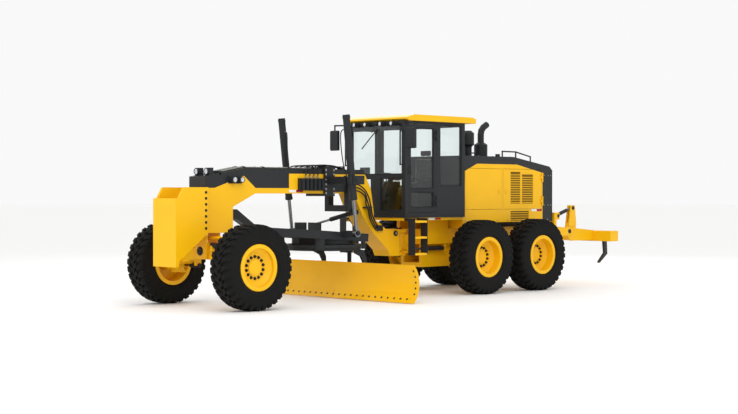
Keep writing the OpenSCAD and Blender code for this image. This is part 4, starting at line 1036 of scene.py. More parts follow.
@dataclass(frozen=True)
class Strip:
    """One strip of tape: its body, its ends, its distance from the middle, and its bottom and top."""

    name: str
    body: str
    front: float
    rear: float
    y: float
    heights: Span


@dataclass
class ReflectiveTape:
    """White and red strips of reflective tape on both sides."""

    thickness: float = 0.0012
    strips: tuple[Strip, ...] = (
        Strip("frame", "front", -1.557, -1.869, 0.2003, (1.842, 1.884)),
        Strip("sill", "rear", -4.435, -4.745, 0.7003, (1.352, 1.388)),
        Strip("hood", "rear", -7.380, -7.690, 0.6503, (1.482, 1.524)))

    def build(self) -> None:
        """Sticks the strips on."""
        for strip in self.strips:
            middle = (strip.front + strip.rear) / 2
            ys = (strip.y, strip.y + self.thickness)
            for colour, xs, finish in (("white", (middle, strip.front), TAPE_WHITE),
                                       ("red", (strip.rear, middle), TAPE_RED)):
                shape = Shape()
                for side in Side:
                    shape.block(station, xs, ys, strip.heights, side=side)
                shape.done(f"tape_{strip.name}_{colour}", finish, strip.body)


@dataclass
class PushBlockBolts:
    """Two columns of bolts that hold the push block to the nose."""

    x: float = 0.262
    y: float = 0.300
    bottom: float = 1.270
    pitch: float = 0.095
    count: int = 7
    head: float = 0.026

    def build(self) -> None:
        """Makes the bolts."""
        shape = Shape()
        for side in Side:
            for i in range(self.count):
                z = self.bottom + self.pitch * i
                shape.bolt(station(self.x, side.value * self.y, z), side.out, self.head)
        shape.done("push_block_bolts", EDGE_STEEL, "front")


@dataclass
class Wiper:
    """Wiper of the windscreen: a bent arm with its blade."""

    spindle: Point = (-3.772, 0.016, 3.085)
    arm: tuple[Point, ...] = ((-3.760, 0.016, 3.060), (-3.772, -0.09, 2.920))
    arm_radius: float = 0.008
    blade: tuple[Point, ...] = ((-3.786, 0.05, 2.98), (-3.782, -0.15, 2.81), (-3.786, -0.36, 2.631))
    blade_radius: float = 0.010
    boss: tuple[Span, ...] = ((0.03, -0.012), (0.03, 0.010), (0.02, 0.014))
    boss_steps: int = 18

    def build(self) -> None:
        """Makes the wiper."""
        shape = Shape()
        shape.tube([station(*p) for p in (self.spindle, *self.arm)], self.arm_radius)
        shape.tube([station(*p) for p in self.blade], self.blade_radius)
        shape.lathe(self.boss, station(*self.spindle), AHEAD, self.boss_steps)
        shape.done("wiper", ABS, "rear")


@dataclass
class LiftLine:
    """The slanting middle line of the lift cylinders."""

    # Station, distance from the middle and height of the trunnion, and the way up as x and z
    x: float = -2.410
    y: float = 0.830
    z: float = 2.050
    along: Span = (0.12131, 0.99261)

    def at(self, t: float, side: Side, out: float = 0.0, ahead: float = 0.0) -> Point:
        """Gives a point by its distance above the trunnion.

        Args:
            t: distance up the line.
            side: which of the two cylinders.
            out: distance outboard of the line.
            ahead: distance in front of the line.

        Returns:
            The point in the row frame.
        """
        return station(self.x + t * self.along[0] + ahead * self.along[1], side.value * (self.y + out),
                       self.z + t * self.along[1] - ahead * self.along[0])

    def up(self) -> Point:
        """Gives the way up the line."""
        return (self.along[0], 0.0, self.along[1])


LIFT = LiftLine()


@dataclass
class Hose:
    """One free hydraulic hose: what it rides on, its diameter and the points that it passes."""

    name: str
    body: str
    diameter: float
    points: Sequence[Point]


@dataclass
class Hoses:
    """Rubber hoses with crimped ends. Their lengths are those of the routes between their ports."""

    sides: int = 12
    steps_per_span: int = 7
    # Swivel nut and crimped ferrule, in shares of the hose's radius, and how far the nut reaches back
    nut: tuple[Span, ...] = ((1.45, 1.1), (1.2, 1.4))
    nut_back: float = 0.004
    ferrule: tuple[Span, ...] = ((1.12, 1.2), (1.30, 1.6), (1.30, 3.6), (1.14, 4.0))
    ferrule_steps: int = 16
    # Hoses of the valves: the first port, the first row over the saddle, and the steps to the next
    valve_count: int = 4
    valve_diameter: float = 0.022
    valve_x: float = -2.175
    valve_x_step: float = 0.090
    valve_y: float = 0.075
    valve_y_step: float = 0.034
    # Hoses of the gooseneck: the height of the first, the drop to the next, and their spread along the neck
    neck_count: int = 3
    neck_diameter: float = 0.026
    neck_z: float = 1.985
    neck_drop: float = 0.055
    neck_spread: float = 0.035
    lift_diameter: float = 0.018
    ripper_diameter: float = 0.018

    def build(self) -> None:
        """Makes the hoses, then the fittings at their ends."""
        kinds = (self.valve_hoses, self.neck_hoses, self.lift_hoses, self.ripper_hoses)
        ends: defaultdict[str, Shape] = defaultdict(Shape)
        for hose in [hose for kind in kinds for side in Side for hose in kind(side)]:
            line = smooth_path(hose.points, self.steps_per_span)
            shape = Shape()
            shape.tube(line, hose.diameter / 2, self.sides)
            piece = shape.done(hose.name, HOSE, hose.body)
            for at, ahead in ((line[0], line[1]), (line[-1], line[-2])):
                self.fitting(ends[hose.body], at, ahead, hose.diameter / 2)
        for body, shape in ends.items():
            shape.done(f"hose_fittings_{body}", ZINC, body)

    def fitting(self, shape: Shape, at: Vector, ahead: Vector, radius: float) -> None:
        """Adds a swivel nut and a crimped ferrule to a hose's end.

        Args:
            shape: what it is added to.
            at: the hose's end.
            ahead: the next point of the hose.
            radius: the hose's radius.
        """
        axis = tuple((ahead - at).normalized())
        nut = [(wide * radius, high * radius) for wide, high in self.nut]
        ferrule = [(wide * radius, high * radius) for wide, high in self.ferrule]
        shape.lathe([(nut[0][0], -self.nut_back), *nut], tuple(at), axis, 6)
        shape.lathe(ferrule, tuple(at), axis, self.ferrule_steps)

    def valve_hoses(self, side: Side) -> list[Hose]:
        """Gives a side's hoses from the frame valves, over the saddle, to a bulkhead behind it."""
        hoses = []
        for i in range(self.valve_count):
            x = self.valve_x + self.valve_x_step * i
            y = self.valve_y + self.valve_y_step * i
            route = [(x, 0.236, 2.080), (x, 0.237, 2.150), (x - 0.030, 0.232, 2.240),
                     (x - 0.110, y + 0.05, 2.292), (-2.330, y + 0.008, 2.310), (-2.445, y, 2.308),
                     (-2.560, y, 2.302), (-2.680, y, 2.284), (-2.800, y, 2.270)]
            hoses.append(Hose(f"valve_hose_{side.word}_{i + 1}", "front", self.valve_diameter,
                              on_side(station, side, route)))
        return hoses

    def neck_hoses(self, side: Side) -> list[Hose]:
        """Gives a side's hoses from the saddle's rear, down the gooseneck, to a bulkhead by the hinge."""
        hoses = []
        for i in range(self.neck_count):
            z = self.neck_z - self.neck_drop * i
            in_by = self.neck_spread * i
            route = [(-2.940, 0.268, z), (-3.010, 0.270, z), (-3.120, 0.278, z - 0.020),
                     (-3.250, 0.282, z - 0.105),
                     (-3.345 + in_by, 0.280, z - 0.240), (-3.400 + in_by, 0.276, z - 0.400 + in_by),
                     (-3.440 + in_by, 0.270, z - 0.540 + in_by), (-3.510 + in_by, 0.258, z - 0.650 + in_by),
                     (-3.610 + in_by, 0.232, z - 0.735 + in_by), (-3.690 + in_by, 0.220, z - 0.775 + in_by)]
            hoses.append(Hose(f"neck_hose_{side.word}_{i + 1}", "front", self.neck_diameter,
                              on_side(station, side, route)))
        return hoses

    def lift_hoses(self, side: Side) -> list[Hose]:
        """Gives the hose down a side's lift cylinder, from the barrel's head to its trunnion collar."""
        # Distance up the cylinder, inboard of it and in front of it
        route = [(0.860, 0.062, 0.0), (0.850, 0.112, 0.012), (0.790, 0.140, 0.030), (0.640, 0.142, 0.046),
                 (0.440, 0.134, 0.052), (0.260, 0.122, 0.046), (0.150, 0.112, 0.030), (0.070, 0.106, 0.012),
                 (0.040, 0.083, 0.0)]
        points = [LIFT.at(t, side, -inboard, ahead) for t, inboard, ahead in route]
        return [Hose(f"lift_hose_{side.word}", "lift_barrels", self.lift_diameter, points)]

    def ripper_hoses(self, side: Side) -> list[Hose]:
        """Gives the hose from the tail plate to the foot of a side's ripper cylinder."""
        route = [(-1.955, 0.300, 1.400), (-2.010, 0.302, 1.398), (-2.075, 0.325, 1.372),
                 (-2.105, 0.385, 1.335), (-2.100, 0.450, 1.322), (-2.070, 0.505, 1.338),
                 (-2.030, 0.540, 1.366), (-2.010, 0.578, 1.384)]
        return [Hose(f"ripper_hose_{side.word}", "rear", self.ripper_diameter, on_side(pivot, side, route))]


@dataclass
class HydraulicLines:
    """Steel lines on the frame's top, with their clamps, and the blocks where hoses end."""

    radius: float = 0.011
    rows: tuple[float, ...] = (0.060, 0.094, 0.128)
    level: float = 2.252
    # Stations and heights where the lines fall to the nose
    fall: tuple[Span, ...] = ((-0.600, 2.250), (-0.540, 2.242), (-0.120, 2.168))
    rear_end: float = -2.250
    fall_start: float = -0.660
    clamp_stations: tuple[float, ...] = (-2.150, -1.600, -1.050, -0.640)
    clamp_half: float = 0.018
    clamp_over: float = 0.022
    clamp_foot: float = 0.013
    clamp_top: float = 0.014
    clamp_bevel: float = 0.004
    clamp_bolt: float = 0.013
    clamp_bolt_in: float = 0.017
    # Blocks over the frame, then on the neck: rear and front, faces from the middle, bottom and top
    blocks: tuple[Faces, ...] = (
        ((-2.840, -2.796), (0.040, 0.200), (2.238, 2.296)),
        ((-0.126, -0.070), (0.040, 0.200), (2.120, 2.190)),
        ((-3.715, -3.585), (0.1995, 0.262), (1.160, 1.260)),
        ((-3.415, -3.265), (0.1995, 0.296), (1.560, 1.590)))
    block_bevel: float = 0.006
    neck_bolt: Point = (-3.340, 0.296, 1.575)
    neck_bolt_head: float = 0.019

    def build(self) -> None:
        """Makes the lines, the clamps and the blocks."""
        lines, clamps = Shape(), Shape()
        route = [(self.rear_end, self.level), (self.fall_start, self.level), *self.fall]
        for side in Side:
            for y in self.rows:
                lines.tube([station(x, side.value * y, z) for x, z in route], self.radius)
            for x in self.clamp_stations:
                self.clamp(clamps, x, side)
            for xs, ys, zs in self.blocks:
                clamps.block(station, xs, ys, zs, self.block_bevel, side)
            clamps.bolt(*on_side(station, side, [self.neck_bolt]), side.out, self.neck_bolt_head)
        lines.done("frame_lines", ZINC, "front")
        clamps.done("frame_line_clamps", DARK, "front")

    def clamp(self, shape: Shape, x: float, side: Side) -> None:
        """Adds one clamp over the three lines.

        Args:
            shape: what it is added to.
            x: its station.
            side: the side of the frame.
        """
        first, last = self.rows[0], self.rows[-1]
        top = self.level + self.clamp_top
        xs = (x - self.clamp_half, x + self.clamp_half)
        ys = (first - self.clamp_over, last + self.clamp_over)
        shape.block(station, xs, ys, (self.level - self.clamp_foot, top), self.clamp_bevel, side)
        for y in (first + self.clamp_bolt_in, last - self.clamp_bolt_in):
            shape.bolt(station(x, side.value * y, top), UP, self.clamp_bolt)


@dataclass
class Lamps:
    """Bezels, reflectors and lenses of the work lamps, and the tail lamps' lenses."""

    # Places on the left and radii of the lamps on the nose, on the frame's flank and on the cab's roof
    nose: Point = (0.128, 0.130, 2.176)
    nose_radius: float = 0.052
    flank: tuple[Point, ...] = ((-0.475, 0.3003, 2.044), (-0.321, 0.3003, 2.044))
    flank_radius: float = 0.046
    roof: tuple[Point, ...] = ((2.465, 0.194, 3.064), (2.465, 0.474, 3.064))
    roof_radius: float = 0.038
    # Sections, as shares of a lamp's radius with heights in metres
    bezel: tuple[Span, ...] = ((0.84, 0.0), (0.84, 0.010), (0.90, 0.014), (1.04, 0.012), (1.07, 0.004),
                               (1.07, -0.010), (1.00, -0.010))
    bowl: tuple[Span, ...] = ((0.85, 0.0), (0.85, 0.006), (0.55, 0.002), (0.30, 0.0015))
    diode: tuple[Span, ...] = ((0.14, 0.001), (0.14, 0.006), (0.09, 0.007))
    lens: tuple[Span, ...] = ((0.86, 0.007), (0.86, 0.009), (0.60, 0.013), (0.25, 0.015))
    diodes: int = 5
    diode_circle: float = 0.48
    diode_steps: int = 8
    steps: int = 28
    # Tail lenses: rear and front, faces from the middle, and heights of the red and of the white one
    tail_xs: Span = (-1.901, -1.887)
    tail_ys: Span = (0.498, 0.602)
    red_zs: Span = (2.003, 2.082)
    white_zs: Span = (1.958, 1.998)
    tail_bevel: float = 0.005
    ribs: int = 4
    rib_radius: float = 0.0035
    rib_in: float = 0.006

    def build(self) -> None:
        """Makes the lamps of the front frame and of the cab's roof, then the tail lamps."""
        front, rear = [], []
        for side in Side:
            front += [(at, AHEAD, self.nose_radius) for at in on_side(station, side, [self.nose])]
            front += [(at, side.out, self.flank_radius) for at in on_side(station, side, self.flank)]
            rear += [(at, AHEAD, self.roof_radius) for at in on_side(pivot, side, self.roof)]
        for body, lamps in (("front", front), ("rear", rear)):
            bezels, bowls, lenses = Shape(), Shape(), Shape()
            for at, axis, radius in lamps:
                bezels.band(scaled(self.bezel, radius), at, axis, self.steps)
                bowls.lathe(scaled(self.bowl, radius), at, axis, self.steps)
                for k in range(self.diodes):
                    way = self.round(axis, math.tau * k / self.diodes)
                    spot = Vector(at) + self.diode_circle * radius * way
                    bowls.lathe(scaled(self.diode, radius), tuple(spot), axis, self.diode_steps)
                lenses.lathe(scaled(self.lens, radius), at, axis, self.steps)
            bezels.done(f"lamp_bezels_{body}", ABS, body)
            bowls.done(f"lamp_bowls_{body}", SILVER, body)
            lenses.done(f"lamp_lenses_{body}", LENS, body)
        self.tail("tail_lenses_red", self.red_zs, RED_LENS)
        self.tail("tail_lenses_white", self.white_zs, LENS_MILKY)

    def round(self, axis: Point, angle: float) -> Vector:
        """Gives a unit vector square to a level axis, turned round it from straight up."""
        across = Vector(axis).cross(Vector(UP))
        return math.cos(angle) * Vector(UP) + math.sin(angle) * across

    def tail(self, name: str, zs: Span, finish: Finish) -> None:
        """Makes a ribbed lens at the rear of each side.

        Args:
            name: the piece's name.
            zs: bottom and top.
            finish: its finish.
        """
        shape = Shape()
        near, far = self.tail_ys[0] + self.rib_in, self.tail_ys[1] - self.rib_in
        for side in Side:
            shape.block(pivot, self.tail_xs, self.tail_ys, zs, self.tail_bevel, side)
            for k in range(self.ribs):
                z = zs[0] + (zs[1] - zs[0]) * (k + 0.5) / self.ribs
                ends = on_side(pivot, side, [(self.tail_xs[0], near, z), (self.tail_xs[0], far, z)])
                shape.tube(sorted(ends), self.rib_radius, 6)
        shape.done(name, finish, "rear")


@dataclass
class Mirrors:
    """Mirror glasses with their rubber rims, on the rear of the housings."""

    glass_xs: Span = (2.4410, 2.4455)
    glass_ys: Span = (0.898, 1.062)
    glass_zs: Span = (2.642, 2.948)
    glass_bevel: float = 0.002
    rim_x: float = 2.4448
    # How far the rim lies outside the glass, and its width and height
    rim_out: float = 0.010
    rim_width: float = 0.014
    rim_height: float = 0.007

    def build(self) -> None:
        """Makes both mirrors."""
        glass, rims = Shape(), Shape()
        for side in Side:
            low, high = sorted(side.value * y for y in self.glass_ys)
            rim = rectangle((low - self.rim_out, high + self.rim_out),
                            (self.glass_zs[0] - self.rim_out, self.glass_zs[1] + self.rim_out))
            glass.block(pivot, self.glass_xs, self.glass_ys, self.glass_zs, self.glass_bevel, side)
            rims.gasket([pivot(self.rim_x, y, z) for y, z in rim], BACK, self.rim_width, self.rim_height)
        glass.done("mirror_glass", SILVER, "rear")
        rims.done("mirror_rims", HOSE, "rear")


@dataclass
class Gaskets:
    """Rubber gaskets that hold the panes of the cab and of its doors."""

    width: float = 0.020
    height: float = 0.011
    # Faces of the panes, and the panes as spans across or along the cab and up it
    front_x: float = 2.363
    front_panes: tuple[Field, ...] = (
        ((-0.66, 0.66), (2.16, 3.06)), ((0.12, 0.66), (1.52, 2.10)), ((-0.66, -0.12), (1.52, 2.10)))
    rear_x: float = 0.855
    rear_pane: Field = ((-0.66, 0.66), (2.5, 3.06))
    flank_y: float = 0.728
    flank_pane: Field = ((0.915, 1.485), (1.96, 3.06))
    door_y: float = 0.731
    door_panes: tuple[Field, ...] = (((1.66, 2.25), (1.575, 1.855)), ((1.66, 2.25), (1.905, 2.99)))

    def build(self) -> None:
        """Makes the gaskets of the fixed panes, then those of each door."""
        fixed = Shape()
        for x, out, panes in ((self.front_x, AHEAD, self.front_panes), (self.rear_x, BACK, [self.rear_pane])):
            for pane in panes:
                fixed.gasket([pivot(x, y, z) for y, z in rectangle(*pane)], out, self.width, self.height)
        for side in Side:
            self.beside(fixed, side, self.flank_y, self.flank_pane)
            door = Shape()
            for pane in self.door_panes:
                self.beside(door, side, self.door_y, pane)
            name = f"cab_door_{side.word}"
            door.done(f"gaskets_{name}", HOSE, name)
        fixed.done("gaskets_cab", HOSE, "rear")

    def beside(self, shape: Shape, side: Side, y: float, pane: Field) -> None:
        """Adds the gasket of one pane in the cab's flank.

        Args:
            shape: what it is added to.
            side: the side of the cab.
            y: the pane's outer face.
            pane: its spans along the cab and up it.
        """
        corners = on_side(pivot, side, [(x, y, z) for x, z in rectangle(*pane)])
        shape.gasket(corners, side.out, self.width, self.height)


@dataclass
class StepTreads:
    """Pressed steel treads of the access steps, with rows of grip buttons."""

    tops: tuple[float, ...] = (0.772, 1.062, 1.342)
    xs: Span = (2.0495, 2.3505)
    ys: Span = (0.801, 0.961)
    # How far a tread reaches below and above its step's top
    skirt: float = 0.032
    sheet: float = 0.003
    bevel: float = 0.004
    # Buttons: the first one, the steps along and across, how many, and the last station that has room
    first_x: float = 2.066
    first_y: float = 0.825
    step_x: float = 0.0325
    step_y: float = 0.028
    along: int = 9
    across: int = 5
    last_x: float = 2.335
    button: tuple[Span, ...] = ((0.009, 0.002), (0.008, 0.006), (0.005, 0.007))
    button_steps: int = 8

    def build(self) -> None:
        """Makes the treads of both sides."""
        # Every second row stands half a step on
        grid = [(self.first_x + self.step_x * (i + 0.5 * (j % 2)), self.first_y + self.step_y * j)
                for i in range(self.along) for j in range(self.across)]
        shape = Shape()
        for side in Side:
            for top in self.tops:
                shape.block(pivot, self.xs, self.ys, (top - self.skirt, top + self.sheet), self.bevel, side)
                for at in on_side(pivot, side, [(x, y, top) for x, y in grid if x < self.last_x]):
                    shape.lathe(self.button, at, UP, self.button_steps)
        shape.done("step_treads", YELLOW, "rear")


@dataclass(frozen=True)
class PinEnd:
    """One pin's end: its body, what x counts from, its place on the left, and its head's size."""

    body: str
    place: Placer
    at: Point
    radius: float
    height: float
    inboard: bool = False


@dataclass(frozen=True)
class Gland:
    """One cylinder's gland: the barrel's end, and its radii round the rod and over the barrel."""

    at: Point
    inner: float
    outer: float


@dataclass
class PinCaps:
    """Heads and bolts of the big pins, the gooseneck's lock pins, and the gland nuts of the cylinders."""

    lock_pin: Point = (-4.089, 0.200, 1.108)
    lock_head: tuple[Span, ...] = ((0.025, 0.008), (0.025, 0.018), (0.021, 0.025), (0.010, 0.029))
    lock_steps: int = 24
    ends: tuple[PinEnd, ...] = (
        PinEnd("front", station, (-2.410, 0.960, 2.050), 0.044, 0.012),
        PinEnd("rear", pivot, (-2.395, 0.660, 1.074), 0.044, 0.010),
        PinEnd("rear", pivot, (-2.010, 0.678, 1.384), 0.034, 0.010),
        PinEnd("ripper", pivot, (-2.525, 0.645, 1.537), 0.040, 0.010),
        PinEnd("ripper", pivot, (-2.525, 0.555, 1.537), 0.040, 0.010, inboard=True),
        PinEnd("drawbar", station, (-2.520, 0.875, 1.150), 0.036, 0.012),
        PinEnd("front", station, lock_pin, 0.052, 0.010))
    # Hinge between the frames: its station from the tandem pivot, and its pin's ends
    hinge_x: float = 1.815
    hinge_zs: Span = (0.700, 1.180)
    hinge_radius: float = 0.075
    # Pin that the front axle hangs on: half its length and its height
    axle_half: float = 0.150
    axle_z: float = 0.900
    axle_radius: float = 0.072
    big_height: float = 0.014
    # Bolts of a cap: how many, how far out and how wide, in shares of the cap's radius
    cap_bolts: int = 3
    bolt_circle: float = 0.55
    bolt_share: float = 0.32
    steps: int = 28
    # Glands, and the clamp band at the lift barrels' heads
    lift_gland_at: float = -0.330
    lift_inner: float = 0.0305
    lift_outer: float = 0.066
    head_band_at: float = 1.020
    head_band: tuple[Span, ...] = ((0.0625, 0.020), (0.0665, 0.022), (0.0665, 0.060), (0.0625, 0.062))
    head_steps: int = 32
    steer: Gland = Gland((-0.130, 0.605, 0.644), 0.0185, 0.042)
    lean: Gland = Gland((0.090, 0.480, 1.000), 0.0185, 0.042)
    articulation: Gland = Gland((1.425, 0.330, 0.820), 0.0225, 0.044)

    def build(self) -> None:
        """Makes the caps of each body, the gooseneck's lock pins, then the glands."""
        caps = {body: Shape() for body in ("front", "rear", "ripper", "drawbar")}
        pins = Shape()
        for side in Side:
            for end in self.ends:
                out = side.inward if end.inboard else side.out
                self.cap(caps[end.body], *on_side(end.place, side, [end.at]), out, end.radius, end.height)
            pins.lathe(self.lock_head, *on_side(station, side, [self.lock_pin]), side.out, self.lock_steps)
        for z, out in zip(self.hinge_zs, (DOWN, UP)):
            self.cap(caps["rear"], pivot(self.hinge_x, 0.0, z), out, self.hinge_radius, self.big_height)
        for x, out in ((self.axle_half, AHEAD), (-self.axle_half, BACK)):
            self.cap(caps["front"], station(x, 0.0, self.axle_z), out, self.axle_radius, self.big_height)
        for body, shape in caps.items():
            shape.done(f"pin_caps_{body}", DARK, body)
        pins.done("neck_lock_pins", ZINC, "front")
        self.glands()

    def cap(self, shape: Shape, at: Point, out: Point, radius: float, height: float) -> None:
        """Adds a pin's head with its bolts.

        Args:
            shape: what it is added to.
            at: the pin's end.
            out: the way out.
            radius: the head's radius.
            height: the head's height.
        """
        shape.lathe([(radius, -0.004), (radius, 0.75 * height), (0.88 * radius, height)], at, out, self.steps)
        for spot, in shape.turned([(self.bolt_circle * radius, height)], at, out, self.cap_bolts, 0.25):
            shape.bolt(tuple(spot), out, self.bolt_share * radius)

    def glands(self) -> None:
        """Makes the threaded gland nuts where rods leave their barrels."""
        lift, front, rear = Shape(), Shape(), Shape()
        for side in Side:
            self.gland(lift, LIFT.at(self.lift_gland_at, side), LIFT.up(), self.lift_inner, self.lift_outer)
            lift.band(self.head_band, LIFT.at(self.head_band_at, side), LIFT.up(), self.head_steps)
            for shape, place, nut, back in ((front, station, self.steer, side.inward),
                                            (rear, pivot, self.articulation, BACK)):
                self.gland(shape, *on_side(place, side, [nut.at]), back, nut.inner, nut.outer)
        self.gland(front, station(*self.lean.at), Side.LEFT.inward, self.lean.inner, self.lean.outer)
        lift.done("glands_lift_barrels", DARK, "lift_barrels")
        front.done("glands_front_axle", DARK, "front")
        rear.done("glands_articulation", DARK, "rear")

    def gland(self, shape: Shape, at: Point, back: Point, inner: float, outer: float) -> None:
        """Adds one gland nut.

        Args:
            shape: what it is added to.
            at: the barrel's end.
            back: the way from there into the barrel.
            inner: radius round the rod.
            outer: radius over the barrel.
        """
        loop = [(inner, -0.010), (0.8 * outer, -0.012), (outer, -0.006), (outer, 0.040),
                (0.92 * outer, 0.044), (inner, 0.0)]
        shape.band(loop, at, back, self.steps)


@dataclass(frozen=True)
class Cushion:
    """One cushion before it swells: rear and front, half its width, bottom and top, and its edges' radius."""

    name: str
    xs: Span
    half: float
    zs: Span
    bevel: float


@dataclass
class Seat:
    """Sprung seat: sewn cushions, swollen by cloth pressure, on a bellows with its arm rests."""

    base: Cushion = Cushion("seat_cushion", (1.125, 1.595), 0.245, (1.812, 1.925), 0.030)
    back: Cushion = Cushion("seat_back", (1.050, 1.145), 0.228, (1.950, 2.478), 0.034)
    head: Cushion = Cushion("seat_head_rest", (1.050, 1.100), 0.122, (2.520, 2.618), 0.020)
    # How cushions are made: size of their grid, pressure, frames that it acts, and how far a point may move
    voxel: float = 0.008
    pressure: float = 4.0
    frames: int = 20
    most: float = 0.014
    sharp_deg: float = 60.0
    # Seams: their depth and width, and where they lie across and along a cushion
    seam: float = 0.007
    seam_width: float = 0.010
    across_lines: Span = (0.24, 0.76)
    along_lines: tuple[float, ...] = (0.3, 0.5, 0.7)
    # Arm rests, the bars that carry them and the head rest, and the back's shell
    arm: Faces = ((1.078, 1.478), (0.270, 0.316), (2.092, 2.128))
    arm_bevel: float = 0.015
    arm_bar: tuple[Point, Point] = ((1.10, 0.225, 2.110), (1.10, 0.280, 2.110))
    arm_bar_radius: float = 0.015
    head_bar: tuple[Point, Point] = ((1.07, 0.060, 2.46), (1.07, 0.060, 2.54))
    head_bar_radius: float = 0.008
    shell: Faces = ((1.040, 1.062), (-0.215, 0.215), (1.900, 2.470))
    shell_bevel: float = 0.010
    # Bellows: its middle, its plates' half width and heights, and its folds
    bellows_x: float = 1.325
    bellows_slim: float = 0.70
    plate_half: float = 0.205
    foot_zs: Span = (1.436, 1.462)
    top_zs: Span = (1.780, 1.815)
    folds: int = 11
    fold_half: float = 0.200
    fold_depth: float = 0.016
    fold_z: float = 1.470
    fold_pitch: float = 0.030
    fold_deg: float = 20.0

    def build(self) -> None:
        """Makes the cushions and what carries them."""
        base, _, _ = [self.pad(cushion) for cushion in (self.base, self.back, self.head)]
        rests = Shape()
        for side in Side:
            rests.block(pivot, *self.arm, self.arm_bevel, side)
            rests.tube(on_side(pivot, side, self.arm_bar), self.arm_bar_radius)
            rests.tube(on_side(pivot, side, self.head_bar), self.head_bar_radius)
        rests.block(pivot, *self.shell, self.shell_bevel)
        carriers = [rests.done("seat_rests", ABS, "rear"), self.bellows()]
        for piece in (base, *carriers):
            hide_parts("seat")

    def bellows(self) -> bpy.types.Object:
        """Makes the folded gaiter under the seat."""
        foot, top = ([(self.plate_half, z) for z in zs] for zs in (self.foot_zs, self.top_zs))
        folds = [(self.fold_half - (0.0 if k % 2 else self.fold_depth), self.fold_z + self.fold_pitch * k)
                 for k in range(self.folds)]
        shape = Shape()
        shape.rings([pivot(self.bellows_x + self.bellows_slim * reach * u, reach * v, z)
                     for u, v in rectangle((-1, 1), (-1, 1))] for reach, z in [*foot, *folds, *top])
        return shape.done("seat_bellows", HOSE, "rear", angle=self.fold_deg)

    def pad(self, cushion: Cushion) -> bpy.types.Object:
        """Makes one cushion.

        Args:
            cushion: its name and sizes.

        Returns:
            The cushion.
        """
        shape = Shape()
        shape.block(pivot, cushion.xs, (-cushion.half, cushion.half), cushion.zs, cushion.bevel)
        piece = shape.done(cushion.name, CLOTH, "rear", "seat_fabric", self.sharp_deg)
        remesh = piece.modifiers.new("remesh", "REMESH")
        remesh.mode = "VOXEL"
        remesh.voxel_size = self.voxel
        self.settle(piece)
        self.swell(piece)
        self.sew(piece)
        fine = piece.modifiers.new("fine", "SUBSURF")
        fine.levels = fine.render_levels = 1
        piece.data.shade_smooth()
        return piece

    def settle(self, piece: bpy.types.Object) -> None:
        """Applies a piece's modifiers to its mesh."""
        shown = piece.evaluated_get(bpy.context.evaluated_depsgraph_get())
        data = bpy.data.meshes.new_from_object(shown)
        piece.modifiers.clear()
        old, piece.data = piece.data, data
        bpy.data.meshes.remove(old)
        if not data.materials:
            data.materials.append(PALETTE.get(CLOTH))

    def swell(self, piece: bpy.types.Object) -> None:
        """Swells a cushion by pressure, and holds back points that move too far."""
        start = [v.co.copy() for v in piece.data.vertices]
        cloth = piece.modifiers.new("cloth", "CLOTH")
        cloth.settings.use_pressure = True
        cloth.settings.uniform_pressure_force = self.pressure
        cloth.settings.effector_weights.gravity = 0.0
        for number in range(1, self.frames + 1):
            bpy.context.scene.frame_set(number)
        self.settle(piece)
        bpy.context.scene.frame_set(1)
        for vertex, was in zip(piece.data.vertices, start):
            move = vertex.co - was
            if move.length > self.most:
                vertex.co = was + move * (self.most / move.length)

    def sew(self, piece: bpy.types.Object) -> None:
        """Draws in the sewn channels across and along a cushion."""
        spots = [v.co for v in piece.data.vertices]
        low = [min(p[k] for p in spots) for k in range(3)]
        size = [max(p[k] for p in spots) - low[k] for k in range(3)]
        # A cushion runs along x if it lies, and along z if it stands
        run = 0 if size[0] > size[2] else 2
        pull = [v.normal.copy() for v in piece.data.vertices]
        first, last = self.across_lines
        for vertex, normal in zip(piece.data.vertices, pull):
            across = (vertex.co.y - low[1]) / size[1]
            along = (vertex.co[run] - low[run]) / size[run]
            depth = sum(self.channel((across - line) * size[1]) for line in self.across_lines)
            if first < across < last:
                depth += sum(self.channel((along - line) * size[run]) for line in self.along_lines)
            vertex.co -= normal * self.seam * min(1.0, depth)

    def channel(self, distance: float) -> float:
        """Gives the share of a seam's depth at a distance from it."""
        return math.exp(-(distance / self.seam_width) ** 2)


